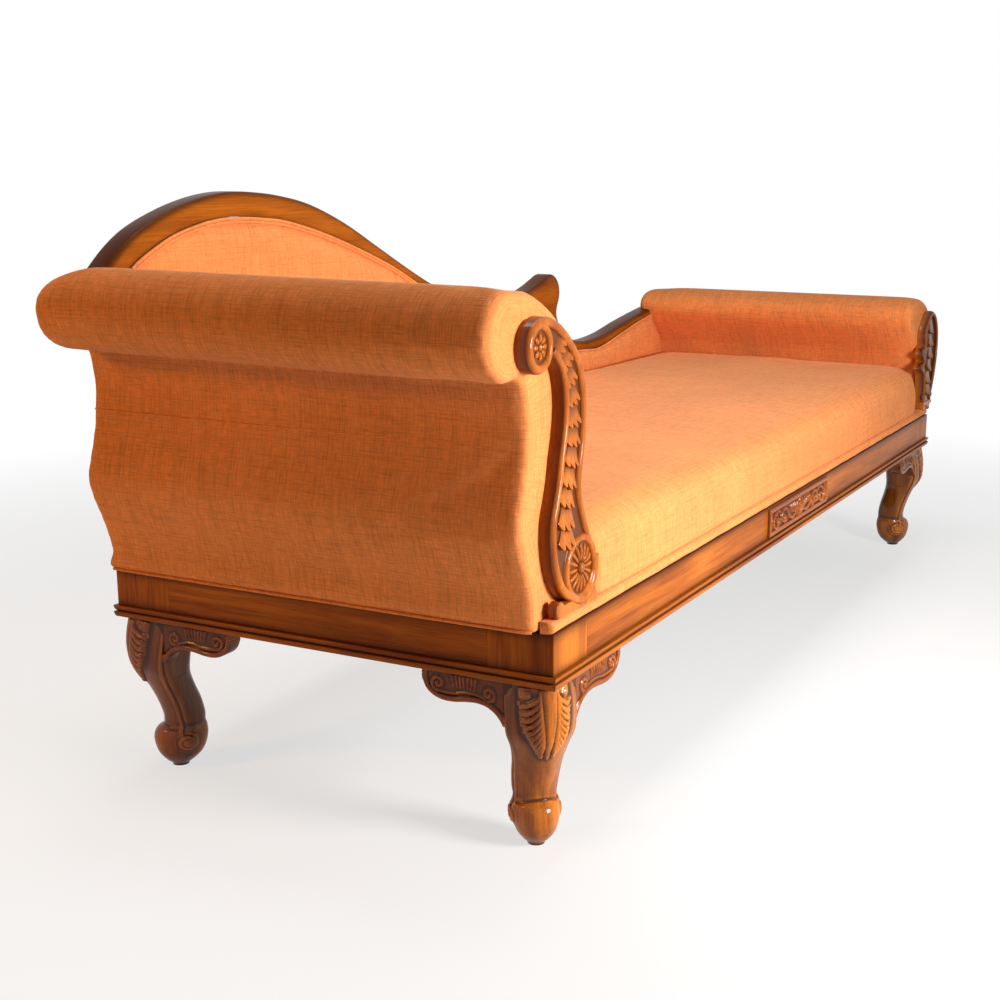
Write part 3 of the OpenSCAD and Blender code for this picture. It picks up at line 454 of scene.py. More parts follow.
leg_rings = [
    (0.0, 0.715, 0.15, 2.0, 0.95), (0.018, 0.716, 0.175, 2.0, 0.95), (0.04, 0.72, 0.265, 2.0, 0.88),
    (0.085, 0.728, 0.385, 2.0, 0.84), (0.14, 0.733, 0.455, 2.0, 0.81), (0.2, 0.737, 0.482, 2.0, 0.8),
    (0.25, 0.752, 0.452, 2.0, 0.83), (0.285, 0.785, 0.372, 2.1, 0.93), (0.34, 0.79, 0.352, 2.3, 1.02),
    (0.43, 0.742, 0.356, 2.4, 1.06), (0.52, 0.668, 0.364, 2.4, 1.09), (0.61, 0.594, 0.392, 2.5, 1.13),
    (0.7, 0.55, 0.446, 2.9, 1.14), (0.8, 0.55, 0.47, 3.4, 1.08), (0.9, 0.575, 0.472, 4.0, 1.03),
    (1.0, 0.61, 0.455, 4.5, 1.0)]
leg_rows = curve_through(leg_rings, 15)
leg_turn = 2 * math.pi * (np.arange(leg_points) + 0.5) / leg_points
leg_turn -= 0.45 * np.sin(leg_turn - math.radians(knee_turn))
leg_up, leg_centre, leg_half, leg_square, leg_broad = (leg_rows[:, i:i + 1] for i in range(5))
leg_x, leg_y = (leg_half * np.sign(wave) * abs(wave) ** (2 / leg_square)
                for wave in (np.cos(leg_turn), np.sin(leg_turn)))
leg_in, leg_across = (leg_x + leg_y) / 2, (leg_x - leg_y) / 2 * leg_broad
leg_limit = np.where(leg_up > leg_plane, 1.0, 2.0)
leg_form = np.dstack([leg_block * np.minimum(leg_centre + leg_in + leg_across, leg_limit),
                      leg_block * np.minimum(leg_centre + leg_in - leg_across, leg_limit),
                      np.broadcast_to(leg_tall * leg_up, leg_in.shape)])
leg_round = (np.roll(leg_form, -1, axis=1) - np.roll(leg_form, 1, axis=1)) / 2
leg_out = np.cross(leg_round, np.gradient(leg_form, axis=0))
leg_out /= np.linalg.norm(leg_out, axis=2, keepdims=True)
leg_side = (np.degrees(leg_turn)[None, :] - knee_turn + 180) % 360 - 180 + 0 * leg_up
leg_arc = np.cumsum(np.linalg.norm(leg_round, axis=2), axis=1)
knee_at = leg_points * knee_turn // 360
leg_arc -= leg_arc[:, knee_at - 1:knee_at + 1].mean(axis=1, keepdims=True)

# The leaf on the knee, in millimetres across from its rib and up from the floor: a stout rib, gouged flutes
# that leave it and turn out into the points of the leaf's edge, and two curled lobes under the moulding.
leaf_strokes = [([(0, 243), (0, 205), (0, 170), (0, 140)], (11, 9, 6, 2.5), (4.4, 4.2, 3.4, 1.6))]
for side in (-1, 1):
    for v in (218, 208, 199, 190.5, 182.5, 175, 167.5, 160.5, 153.5, 147):
        reach = np.interp(v, [140, 153, 167, 180, 198, 220], [4, 14, 23, 31, 39, 42])
        lift = min(30, 241 - v)
        path = [(6 + 0.12 * reach, v + lift), (6 + 0.16 * reach, v + 0.45 * lift), (5 + 0.48 * reach, v + 1),
                (0.86 * reach, v - 3), (reach, v + 1)]
        leaf_strokes.append(([(side * x, z) for x, z in path], (2.2, 3.0, 3.4, 3.2, 2.6),
                             (2.2, 3.6, 3.8, 4.4, 4.6)))
    leaf_strokes.append((coil(side * 30, 232, 7, 1.1, 90, -side), (3.0, 2.4), (3.8, 4.8)))
knee_places = np.dstack([leg_arc / mm, np.broadcast_to(leg_up * leg_tall / mm, leg_arc.shape)])
knee_off, knee_up = abs(knee_places[..., 0]), knee_places[..., 1]
on_knee = (knee_up > 134) & (knee_off < 52)
knee_carving = np.zeros(leg_arc.shape)
knee_carving[on_knee] = stroked(knee_places[on_knee], leaf_strokes)
leaf_half = np.interp(knee_up, [137, 153, 167, 180, 200, 215, 243], [1, 13, 22, 30, 37, 41, 44])
leaf_field = rise(knee_off, leaf_half, -2.5) * (knee_up > 137)
leaf_body = np.maximum(leaf_field, np.clip(knee_carving / 1.5, 0, 1))
leg_height = (1.2 * leaf_field + knee_carving) * mm

# A groove with a bead beside it runs down each side of the leg and ends in a small raised coil.
for turn in (-1, 1):
    away = leg_side - turn * np.interp(leg_up, [0.2, 0.34, 0.6, 0.85], [98, 78, 84, 92])
    fading = rise(leg_up, 0.2, 0.05) * rise(leg_up, 0.97, -0.05)
    leg_height += fading * mm * (1.2 * bell(away, -turn * 9, 4.5) - 1.6 * bell(away, 0, 3.2))
    eye_x, eye_z = (leg_side - turn * 100) * math.radians(1) * 34 * mm, (leg_up - 0.185) * leg_tall
    eye_far = np.hypot(eye_x, eye_z)
    eye_coil = eye_far / (6.5 * mm) - turn * np.arctan2(eye_z, eye_x) / (2 * math.pi)
    coil_cut = bell(eye_coil, np.round(eye_coil), 0.16) * rise(eye_far, 17 * mm, -3 * mm)
    leg_height -= 1.8 * mm * coil_cut * rise(eye_far, 3.5 * mm, 1.5 * mm)
    leg_height += 5.5 * mm * np.exp(-(eye_far / (14 * mm)) ** 4)
ankle_line = 0.272 + 0.018 * np.cos(np.radians(leg_side * 1.6))
leg_height -= 1.6 * mm * bell(leg_up, ankle_line, 0.009) * (abs(leg_side) < 80)
leg_height *= rise(leg_up, 0.998, -0.012) * rise(leg_up, 0.04, 0.03)
leg_height[(leg_form[..., :2] > leg_block * 0.999).any(axis=2) & (leg_limit[:, 0] < 1.5)[:, None]] = 0
# Dark stain and painted shade in the carved hollows, and a browner shaft off the leaf. Painted shade falls on
# the sides turned from the knee, in the crease above the ball, round the side scrolls, and on the lower ball
# and pad near the floor.
leg_stain_and_shade = hollowed(leg_height, 3) / mm + 0.44 * rise(leg_up, 0.275, 0.02) * (1 - leaf_body)
leg_stain_and_shade += 0.25 * rise(abs(leg_side), 75, 30) + 0.25 * bell(leg_up, 0.29, 0.02)
leg_stain_and_shade += 0.5 * rise(leg_up, 0.045, -0.02) + 0.35 * rise(leg_up, 0.15, -0.08)
leg_stain_and_shade += 0.35 * bell(abs(leg_side), 100, 16) * (leg_up < 0.3)
leg_form = leg_form + leg_out * leg_height[..., None]
leg_wood = polished_wood("amber_leg_wood", "Z", (0.62, 0.19, 0.014), umber, coat=0.45)


def at_corner(points, end, side):
    """Puts what was measured inwards from a base corner at any of the four. End -1 is the head, side -1 the
    front."""
    x = base_low.x + points[..., 0] if end < 0 else base_high.x - points[..., 0]
    y = base_low.y + points[..., 1] if side < 0 else base_high.y - points[..., 1]
    return np.stack([x, y, points[..., 2]], axis=-1)


corners = {"head_front": (-1, -1), "head_back": (-1, 1), "foot_front": (1, -1), "foot_back": (1, 1)}
for name, (end, side) in corners.items():
    leg = made("carved_leg_" + name, [skin(at_corner(leg_form, end, side))], leg_wood, 70, leg_stain_and_shade.ravel())
    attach(leg, "root")
    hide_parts("leg_" + name)


# EAR BRACKETS
# A carved board glued beside each leg under the moulding, two to a leg. A bead runs along its lower edge,
# two small scrolls lie in its ground, and a fan of gadroons opens between them.
ear_outline = [(0, 1), (0.03, 0.89), (0.1, 0.74), (0.2, 0.63), (0.32, 0.585), (0.46, 0.6), (0.6, 0.64),
               (0.74, 0.64), (0.86, 0.57), (0.95, 0.43), (1.0, 0.23)]
ear_deep, ear_thick, ear_inset, ear_tuck = 64 * mm, 22 * mm, 12 * mm, 14 * mm


def ear_board(length):
    """An ear bracket as it is measured from its leg's back face: along, down and out."""
    rows = 34
    outline = curve_through(ear_outline, 10) * (length, ear_deep)
    places = np.dstack([np.repeat(outline[:, :1], rows, 1), outline[:, 1:] * np.linspace(0, 1, rows)])
    flat = places.reshape(-1, 2)
    rim = curve_through(np.vstack([outline, [(length, 0)]]), 4)
    edge = np.array([np.linalg.norm(rim - place, axis=1).min() for place in flat])
    far = length / mm
    strokes = [(coil(0.17 * far, 22, 10, 1.3, 90, 1), (3.2, 2.4), (2.6, 3.2)),
               (coil(0.8 * far, 17, 11, 1.3, 90, -1), (3.4, 2.4), (2.8, 3.4)),
               ([(0.8 * far, 28), (0.62 * far, 29), (0.44 * far, 25), (0.3 * far, 26), (0.17 * far, 32)],
                (2.6, 2.2, 2.0, 2.2, 2.6), (2.6, 2.2, 2.0, 2.2, 2.6))]
    strokes += [([((0.33 + 0.05 * i) * far, 4), ((0.35 + 0.042 * i) * far, 19)], (2.6, 1.6), (2.6, 1.6))
                for i in range(7)]
    carving = stroked(flat / mm, strokes) * mm
    bead = 2.8 * mm * np.sqrt(np.clip(1 - ((edge - 4 * mm) / (4 * mm)) ** 2, 0, 1))
    height = np.maximum(bead, carving * (edge > 8 * mm)) - 0.9 * mm * bell(edge, 9 * mm, mm)
    height = height.reshape(places.shape[:2])
    points, faces = relief(places, height, -ear_thick)
    # Dark stain and painted shade, deeper in the carved hollows.
    dark_stain_and_shade = hollowed(height, 2).ravel() / (0.9 * mm) + 0.5
    return points, faces, np.append(dark_stain_and_shade, np.full(len(points) - dark_stain_and_shade.size, 0.5))


ear_wood = polished_wood("amber_ear_wood", "X", (0.4, 0.105, 0.012), umber, coat=0.35)
long_ear, end_ear = ear_board(138 * mm), ear_board(124 * mm)
for name, (end, side) in corners.items():
    ear_shapes, ear_stain_and_shade = [], []
    for (points, faces, dark_stain_and_shade), turned in ((long_ear, False), (end_ear, True)):
        along = leg_block + np.where(points[:, 0] < 1e-6, -ear_tuck, points[:, 0])
        out = ear_inset - points[:, 2]
        place = np.column_stack([out, along] if turned else [along, out])
        place = np.column_stack([place, leg_tall - points[:, 1]])
        ear_shapes.append((at_corner(place, end, side), faces))
        ear_stain_and_shade.append(dark_stain_and_shade)
    ears = made("carved_ears_" + name, ear_shapes, ear_wood, 60, np.concatenate(ear_stain_and_shade))
    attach(ears, "root")
    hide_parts("ears_" + name)


# INNER FRAME, BOLTS AND CROSS RAILS
# Plain pale hardwood inside the padding: posts, poles and rails of both ends and the back, and two cross
# rails under the seat. It is planed and glued, and never stained. Zinc-plated bolts hold the legs.
def dressed(material, *nodes):
    """Gives CAD pieces whose shape is right their finish."""
    for node in nodes:
        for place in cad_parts[node].material_slots:
            place.material = material


raw_wood = polished_wood("pale_frame_wood", "Y", (0.52, 0.36, 0.2), (0.36, 0.22, 0.11))
dressed(raw_wood, "cross_rail_head", "cross_rail_foot", "head_post_front", "head_post_back",
        "head_pole", "head_mid_rail", "head_bottom_rail", "foot_post_front", "foot_post_back", "foot_pole",
        "foot_bottom_rail", "back_post_head", "back_post_mid", "back_post_foot")
bolt_steel, bolt_tree, bolt_face = new_paint("zinc_bolt_steel")
bolt_wear = noisy(bolt_tree, add(bolt_tree, "ShaderNodeTexCoord").outputs["Object"], (160, 160, 160), 2)
feed(bolt_face, {"Base Color": (0.55, 0.55, 0.53, 1), "Metallic": 1.0,
                 "Roughness": ranged(bolt_tree, bolt_wear, (0, 1), 0.25, 0.55)})
dressed(bolt_steel, "leg_bolts")


# WEBBING, HESSIAN, FOAM AND DUST COVER
# Jute straps are tacked over the rails, hessian lies on them, and a foam slab on that. Thin black cloth is
# stapled under the rails to keep dust out.
def plain_cloth(name, colour, shade, across, along, rough):
    """A plain open cloth on object coordinates: threads both ways at two spacings."""
    material, tree, face = new_paint(name)
    place = add(tree, "ShaderNodeTexCoord").outputs["Object"]
    warp, weft = (noisy(tree, place, scale, 3) for scale in ((across, along, along), (along, across, across)))
    both = reckoned(tree, "MULTIPLY", warp, weft)
    feed(face, {"Base Color": ramped(tree, both, [(0.16, shade), (0.34, colour)]), "Roughness": rough,
                "Normal": bumped(tree, both, 0.4, 0.0006)})
    return material


dressed(plain_cloth("jute_webbing", (0.5, 0.38, 0.22), (0.26, 0.18, 0.09), 700, 60, 0.9), "seat_webbing")
dressed(plain_cloth("hessian", (0.42, 0.29, 0.15), (0.2, 0.13, 0.06), 420, 90, 0.95), "seat_hessian")
dressed(plain_cloth("seat_foam_cells", (0.8, 0.7, 0.44), (0.62, 0.52, 0.3), 260, 240, 0.9), "seat_foam")
dressed(plain_cloth("black_dust_cloth", (0.035, 0.034, 0.033), (0.015, 0.015, 0.015), 900, 200, 0.9),
        "dust_cover")


def points_of(mesh):
    """The mesh's points as rows."""
    flat = np.empty(len(mesh.vertices) * 3)
    mesh.vertices.foreach_get("co", flat)
    return flat.reshape(-1, 3)


def grown(tree, path, sizes=(1.0, 1.0), closed=False, **values):
    """Runs a Geometry Nodes tree along a path and gives the shape that it makes as points and faces."""
    mesh = bpy.data.meshes.new("start")
    edges = [(i, i + 1) for i in range(len(path) - 1)] + [(len(path) - 1, 0)] * closed
    mesh.from_pydata([tuple(map(float, point)) for point in path], edges, [])
    start = bpy.data.objects.new("start", mesh)
    bpy.context.scene.collection.objects.link(start)
    nodes = start.modifiers.new("grow", "NODES")
    nodes.node_group = tree
    values.update({"First Size": sizes[0], "Last Size": sizes[1]})
    for item in tree.interface.items_tree:
        if item.item_type == "SOCKET" and item.in_out == "INPUT" and item.name in values:
            nodes[item.identifier] = values[item.name]
    graph = bpy.context.evaluated_depsgraph_get()
    result = bpy.data.meshes.new_from_object(start.evaluated_get(graph), depsgraph=graph)
    shape = (points_of(result), [list(face.vertices) for face in result.polygons])
    bpy.data.objects.remove(start)
    for spent in (mesh, result):
        bpy.data.meshes.remove(spent)
    return shape


def new_path_tree(name, *inputs):
    """A new Geometry Nodes tree with its given inputs, and in it an even path and the size at each place."""
    tree = bpy.data.node_groups.new(name, "GeometryNodeTree")
    tree.interface.new_socket("Geometry", in_out="INPUT", socket_type="NodeSocketGeometry")
    shared = ("Count", "Int"), ("First Size", "Float"), ("Last Size", "Float"), ("Material", "Material")
    for label, kind in (*shared, *inputs):
        tree.interface.new_socket(label, in_out="INPUT", socket_type="NodeSocket" + kind)
    tree.interface.new_socket("Geometry", in_out="OUTPUT", socket_type="NodeSocketGeometry")
    given = tree.nodes.new("NodeGroupInput").outputs
    path = add(tree, "GeometryNodeMeshToCurve", {"Mesh": given["Geometry"]}).outputs["Curve"]
    even = add(tree, "GeometryNodeResampleCurve", {"Curve": path, "Count": given["Count"]}).outputs["Curve"]
    share = add(tree, "GeometryNodeSplineParameter").outputs["Factor"]
    size = add(tree, "ShaderNodeMix", {"Factor": share, "A": given["First Size"], "B": given["Last Size"]},
               data_type="FLOAT").outputs["Result"]
    return tree, given, even, size


def ended(tree, given, geometry):
    """Makes what a tree grew a real mesh of its material and puts it out."""
    real = add(tree, "GeometryNodeRealizeInstances", {"Geometry": geometry}).outputs["Geometry"]
    finish = add(tree, "GeometryNodeSetMaterial", {"Geometry": real, "Material": given["Material"]})
    add(tree, "NodeGroupOutput", {"Geometry": finish.outputs["Geometry"]})
    return tree


def set_along_path():
    """Sets a pattern piece along a path, its length on the path, growing from a first to a last size."""
    tree, given, even, size = new_path_tree("set_along_path", ("Pattern", "Object"), ("Unevenness", "Float"),
                                            ("Seed", "Int"))
    pattern = add(tree, "GeometryNodeObjectInfo", {"Object": given["Pattern"]})
    tangent = add(tree, "GeometryNodeInputTangent").outputs["Tangent"]
    heading = add(tree, "FunctionNodeAxesToRotation", {"Primary Axis": (0, 0, 1), "Secondary Axis": tangent},
                  primary_axis="Z", secondary_axis="X")
    least = reckoned(tree, "SUBTRACT", 1, given["Unevenness"])
    chance = add(tree, "FunctionNodeRandomValue", {"Seed": given["Seed"], 2: least, 3: 1}, data_type="FLOAT")
    pieces = add(tree, "GeometryNodeInstanceOnPoints", {
        "Points": even, "Instance": pattern.outputs["Geometry"], "Rotation": heading.outputs["Rotation"],
        "Scale": reckoned(tree, "MULTIPLY", size, chance.outputs[1])})
    return ended(tree, given, pieces.outputs["Instances"])


def pattern_piece(name, shape):
    """A pattern for a Geometry Nodes tree. It isn't put in the scene."""
    mesh = bpy.data.meshes.new(name)
    mesh.from_pydata(shape[0].tolist(), [], shape[1])
    return bpy.data.objects.new(name, mesh)


path_tree = set_along_path()
staple_leg, staple_half, staple_wire = 1.2 * mm, 5 * mm, 0.7 * mm
staple_inset, staple_first, staple_step = 6 * mm, 75 * mm, 45 * mm
staple_path = [(-staple_half, -staple_leg), (-staple_half, 0), (staple_half, 0), (staple_half, -staple_leg)]
staple_rings = [[(x + dx * staple_wire, dy * staple_wire, z + dx * staple_wire)
                 for dx, dy in ((-0.5, -0.5), (0.5, -0.5), (0.5, 0.5), (-0.5, 0.5))] for x, z in staple_path]
staple_pattern = pattern_piece("staple_pattern", skin(staple_rings))
cover_low, cover_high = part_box("dust_cover")
(x_low, y_low), (x_high, y_high) = ((corner.x + way, corner.y + way) for corner, way in (
    (cover_low, staple_inset), (cover_high, -staple_inset)))
staple_corners = np.array([(x_low, y_low, 0), (x_high, y_low, 0), (x_high, y_high, 0), (x_low, y_high, 0)])
staple_shapes = []
for a, b in zip(staple_corners, np.roll(staple_corners, -1, axis=0)):
    run = np.linalg.norm(b - a)
    line = [a + (b - a) * t for t in (staple_first / run, 1 - staple_first / run)]
    points, faces = grown(path_tree, line, Pattern=staple_pattern, Count=int(run / staple_step),
                          Unevenness=0.08, Seed=3, Material=bolt_steel)
    staple_shapes.append((points * (1, 1, -1) + (0, 0, cover_low.z - 0.3 * mm), faces))
staples = made("dust_cover_staples", staple_shapes, bolt_steel)
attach(staples, "root")


# HEAD END UPHOLSTERY
# The scrolled head end is padded over its frame and covered in one with its roll: a double curve outside, a
# tight crease under the roll, a soft shoulder inside. The fabric is a slubby two-way linen in burnt orange.
def slub_linen(name, colour):
    """Linen with irregular darker and paler threads both ways, on the piece's own map of the cloth."""
    material, tree, face = new_paint(name)
    cloth_map = add(tree, "ShaderNodeUVMap", uv_map="weave").outputs["UV"]

    def threads(across, along, shift, span, least, most):
        field = noisy(tree, cloth_map, (across, along, 1), 2, (shift, shift, 0), flat=True)
        return ranged(tree, field, span, least, most)

    def times(a, b):
        return reckoned(tree, "MULTIPLY", a, b)

    slubs = times(threads(330, 13, 3, (0.3, 0.5), 0.86, 1.02), threads(11, 360, 8, (0.3, 0.5), 0.87, 1.02))
    weave = times(threads(760, 60, 5, (0.3, 0.7), 0.87, 1.12), threads(60, 760, 6, (0.3, 0.7), 0.89, 1.1))
    worn = times(threads(4, 4, 1, (0.35, 0.65), 0.96, 1.03), threads(60, 9, 2, (0.35, 0.65), 0.96, 1.03))
    cloth = times(slubs, weave)
    tint = add(tree, "ShaderNodeVectorMath", {0: colour, "Scale": times(cloth, worn)}, operation="SCALE")
    feed(face, {"Base Color": tint.outputs["Vector"], "Roughness": 0.85, "Specular IOR Level": 0.08,
                "Sheen Weight": 0.2, "Sheen Roughness": 0.45, "Sheen Tint": (1.0, 0.72, 0.5, 1),
                "Normal": bumped(tree, cloth, 0.35, 0.0005)})
    return material


linen = slub_linen("burnt_orange_linen", (0.8, 0.262, 0.078))


def applied(piece):
    """Turns a piece's modifiers into its own mesh."""
    graph = bpy.context.evaluated_depsgraph_get()
    mesh = bpy.data.meshes.new_from_object(piece.evaluated_get(graph), depsgraph=graph)
    piece.modifiers.clear()
    piece.data = mesh


def padded_out(piece, voxel, reach, held):
    """Pads a closed form: it is remeshed evenly, blown up as cloth by a small pressure with the held places
    kept, no point moving further than its reach, and smoothed."""
    last_frame = 20
    remesh = piece.modifiers.new("even", "REMESH")
    remesh.mode, remesh.voxel_size = "VOXEL", voxel
    applied(piece)
    start = points_of(piece.data)
    keep = piece.vertex_groups.new(name="held")
    for point in np.flatnonzero(held(start)):
        keep.add([int(point)], 1.0, "REPLACE")
    cloth = piece.modifiers.new("pressure", "CLOTH")
    cloth.settings.quality = 4
    cloth.settings.use_pressure = True
    cloth.settings.uniform_pressure_force = 4
    cloth.settings.effector_weights.gravity = 0
    cloth.settings.vertex_group_mass = "held"
    cloth.settings.bending_stiffness = 2
    cloth.collision_settings.use_collision = False
    cloth.point_cache.frame_start, cloth.point_cache.frame_end = 1, last_frame
    for step in range(1, last_frame + 1):
        bpy.context.scene.frame_set(step)
    graph = bpy.context.evaluated_depsgraph_get()
    blown = points_of(piece.evaluated_get(graph).data) - start
    far = np.linalg.norm(blown, axis=1, keepdims=True)
    moved = start + blown * np.minimum(1, reach / np.maximum(far, 1e-9))
    piece.modifiers.clear()
    piece.vertex_groups.clear()
    piece.data.vertices.foreach_set("co", moved.ravel())
    bpy.context.scene.frame_set(1)
    smooth = piece.modifiers.new("smooth", "SMOOTH")
    smooth.factor, smooth.iterations = 0.5, 4
    applied(piece)


def weave_layer(piece, places):
    """Lays the cloth by a place on it, in metres, for each point."""
    corner = np.empty(len(piece.data.loops), dtype=np.int32)
    piece.data.loops.foreach_get("vertex_index", corner)
    layer = piece.data.uv_layers.new(name="weave")
    layer.data.foreach_set("uv", places[corner].ravel().astype(np.float32))


def lay_weave(piece, along, path):
    """Maps the cloth: across it the place along an axis, and up it the way round a path."""
    points = points_of(piece.data)
    flat = np.delete(points, along, axis=1)
    path = np.asarray(path, float)
    start, step = path[:-1], np.diff(path, axis=0)
    length = np.linalg.norm(step, axis=1)
    run = np.concatenate([[0], np.cumsum(length)])[:-1]
    up, off = np.empty(len(flat)), np.empty(len(flat))
    at_once = 20000
    for first in range(0, len(flat), at_once):
        part = flat[first:first + at_once]
        rel = part[:, None] - start[None]
        share = np.clip((rel * step[None]).sum(axis=2) / length ** 2, 0, 1)
        gap = np.linalg.norm(rel - share[..., None] * step[None], axis=2)
        near = gap.argmin(axis=1)
        rows = np.arange(len(part))
        up[first:first + at_once] = run[near] + share[rows, near] * length[near]
        off[first:first + at_once] = gap[rows, near]
    middle = (points[:, along].min() + points[:, along].max()) / 2
    weave_layer(piece, np.column_stack([points[:, along] + np.sign(points[:, along] - middle) * off, up]))


def refined(piece):
    """One subdivision, applied, and smooth shading."""
    finer = piece.modifiers.new("finer", "SUBSURF")
    finer.levels = finer.render_levels = 1
    applied(piece)
    piece.data.shade_smooth()


def at_height(line, out):
    """A flat line, lifted."""
    return np.column_stack([line, np.full(len(line), out)])


def rounded_ends(outline, ends, radii, fit):
    """Rings of a form along Y: the outline is drawn in by a round at each end, and by the fit everywhere."""
    loop = np.asarray(outline, float)
    ahead = np.roll(loop, -1, axis=0) - np.roll(loop, 1, axis=0)
    inward = np.column_stack([-ahead[:, 1], ahead[:, 0]]) / np.linalg.norm(ahead, axis=1, keepdims=True)
    if np.cross(loop, np.roll(loop, -1, axis=0)).sum() < 0:
        inward = -inward
    result = []
    for end, radius, way in ((ends[0], radii[0], 1), (ends[1], radii[1], -1)):
        for a in np.linspace(0, math.pi / 2, 7)[::way]:
            moved = loop + inward * np.reshape(fit + radius * (1 - math.sin(a)), (-1, 1))
            place = end + way * (fit + radius * (1 - math.cos(a)))
            result.append(at_height(moved, place)[:, [0, 2, 1]].tolist())
    return result


head_x, rail_top = base_low.x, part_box("front_rail")[1].z
front_y, back_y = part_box("head_pad")[0].y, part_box("head_pad")[1].y
roll_low, roll_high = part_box("head_roll")
roll_r = (roll_high.x - roll_low.x) / 2
roll_x, roll_z = roll_low.x + roll_r, roll_high.z - roll_r
head_deep, head_tall = 112 * mm, 447 * mm
hem_held, face_held, past_face, past_back = 6 * mm, 4 * mm, 4.5 * mm, 3 * mm
head_outside = curve_through([
    (-0.06, -0.011), (-0.115, 0.045), (-0.135, 0.1), (-0.23, 0.17), (-0.345, 0.24), (-0.42, 0.3),
    (-0.425, 0.35), (-0.36, 0.41), (-0.29, 0.47), (-0.24, 0.54), (-0.215, 0.62), (-0.26, 0.69),
    (-0.34, 0.75)], 4)
head_inside = curve_through([
    (-0.1, 0.99), (0.15, 0.968), (0.43, 0.935), (0.68, 0.89), (0.86, 0.825), (0.95, 0.74), (0.99, 0.66),
    (0.995, 0.58), (0.965, 0.51), (0.93, 0.45), (0.905, 0.38), (0.925, 0.32), (1, 0.262)], 4)
head_outside, head_inside = (line * (head_deep, head_tall) + (head_x, rail_top)
                             for line in (head_outside, head_inside))
head_round = arc(roll_x, roll_z, roll_r, 292, 92, 26)
head_path = np.vstack([head_outside, head_round, head_inside])
head_loop = np.vstack([head_path, [(head_x + head_deep, rail_top - 5 * mm)]])
head_soft = np.interp(head_loop[:, 1], [roll_z - roll_r - 20 * mm, roll_z], [8 * mm, 13 * mm])
head_form = rounded_ends(head_loop, (front_y - past_face, back_y + past_back), (head_soft, 8 * mm), 3 * mm)
head_pad = made("head_upholstery", [skin(head_form)], linen)
padded_out(head_pad, 7 * mm, 1.8 * mm,
           lambda p: (p[:, 2] < rail_top + hem_held) | (p[:, 1] < front_y + face_held))

# The roll's back end sags, while the rest of the roll rises a little towards it, and the hem swells over
# the rail.
roll_sag, roll_lift, roll_push, hem_out, hem_in = 0.3, 6 * mm, 4 * mm, 8 * mm, 3 * mm
head_points = points_of(head_pad.data)
along, up = head_points[:, 1], head_points[:, 2]
roll_end = rise(along, back_y - 60 * mm, 60 * mm) ** 1.5 * rise(head_points[:, 0], roll_x + 58 * mm, -25 * mm)
up -= roll_sag * roll_end * np.maximum(up - roll_z, 0)
up += roll_lift * rise(along, front_y, back_y - front_y) * rise(up, rail_top + 250 * mm, 60 * mm)
along += roll_push * roll_end * rise(up, roll_z - roll_r, 30 * mm)
hem_swell = hem_out * bell(up, rail_top + 6 * mm, 13 * mm) - hem_in * bell(up, rail_top + 30 * mm, 9 * mm)
along += hem_swell * rise(along, back_y - 30 * mm, 25 * mm)
head_pad.data.vertices.foreach_set("co", head_points.ravel())
lay_weave(head_pad, 1, head_path)
refined(head_pad)
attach(head_pad, "root")
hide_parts("head_pad", "head_roll")


# SEAT
# A foam seat under wadding, covered in the same linen: crowned on top, with a soft rolled front edge that
# is drawn in behind the facings at both ends.
foot_x = base_high.x
seat_low, seat_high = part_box("seat_cover")
seat_top, seat_crown, seat_round, seat_tuck = seat_high.z, 3 * mm, 42 * mm, 23 * mm
border_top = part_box("seat_border")[1].z
head_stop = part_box("head_facing")[1].x + 4 * mm
foot_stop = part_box("foot_facing")[0].x - 4 * mm
seat_back, seat_bottom = seat_high.y - 2 * mm, seat_low.z + 3 * mm
seat_rings = []
seat_run = np.linspace(seat_low.x + 6 * mm, seat_high.x - 6 * mm, 150)
for x in (seat_low.x, *seat_run, seat_high.x):
    tuck = np.clip(max(head_stop - x, x - foot_stop) / (16 * mm) + 1, 0, 1)
    front = base_low.y + 8.5 * mm + seat_tuck * tuck * tuck * (3 - 2 * tuck)
    share = (x - seat_low.x) / (seat_high.x - seat_low.x)
    top = seat_top + 4 * mm - seat_crown * (2 * share - 1) ** 4
    bend = top - seat_crown - seat_round
    profile = [(seat_back, seat_bottom), (front + 3 * mm, seat_bottom)]
    profile += [(front - 1.5 * mm * math.sin(math.pi * t), border_top + 2 * mm + t * (bend - border_top))
                for t in np.linspace(0, 1, 6)]
    profile += [(front + seat_round * (1 - math.cos(a)), bend + seat_round * math.sin(a))
                for a in np.linspace(0.15, math.pi / 2, 9)]
    profile += [(front + seat_round + (seat_back - front - seat_round) * t,
                 top - seat_crown * (2 * t - 1) ** 2) for t in np.linspace(0.06, 1, 14)]
    seat_rings.append([(x, y, z) for y, z in profile])
seat_path = [(y, z) for x, y, z in seat_rings[len(seat_rings) // 2 - 1]][1:]
seat = made("seat_upholstery", [skin(seat_rings)], linen)
seat_held = 8 * mm
padded_out(seat, 11 * mm, 5 * mm,
           lambda p: (p[:, 2] < border_top + face_held) | (p[:, 0] < seat_low.x + seat_held)
           | (p[:, 0] > seat_high.x - seat_held) | (p[:, 1] > seat_high.y - seat_held))
lay_weave(seat, 0, seat_path)
refined(seat)
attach(seat, "root")
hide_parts("seat_cover")


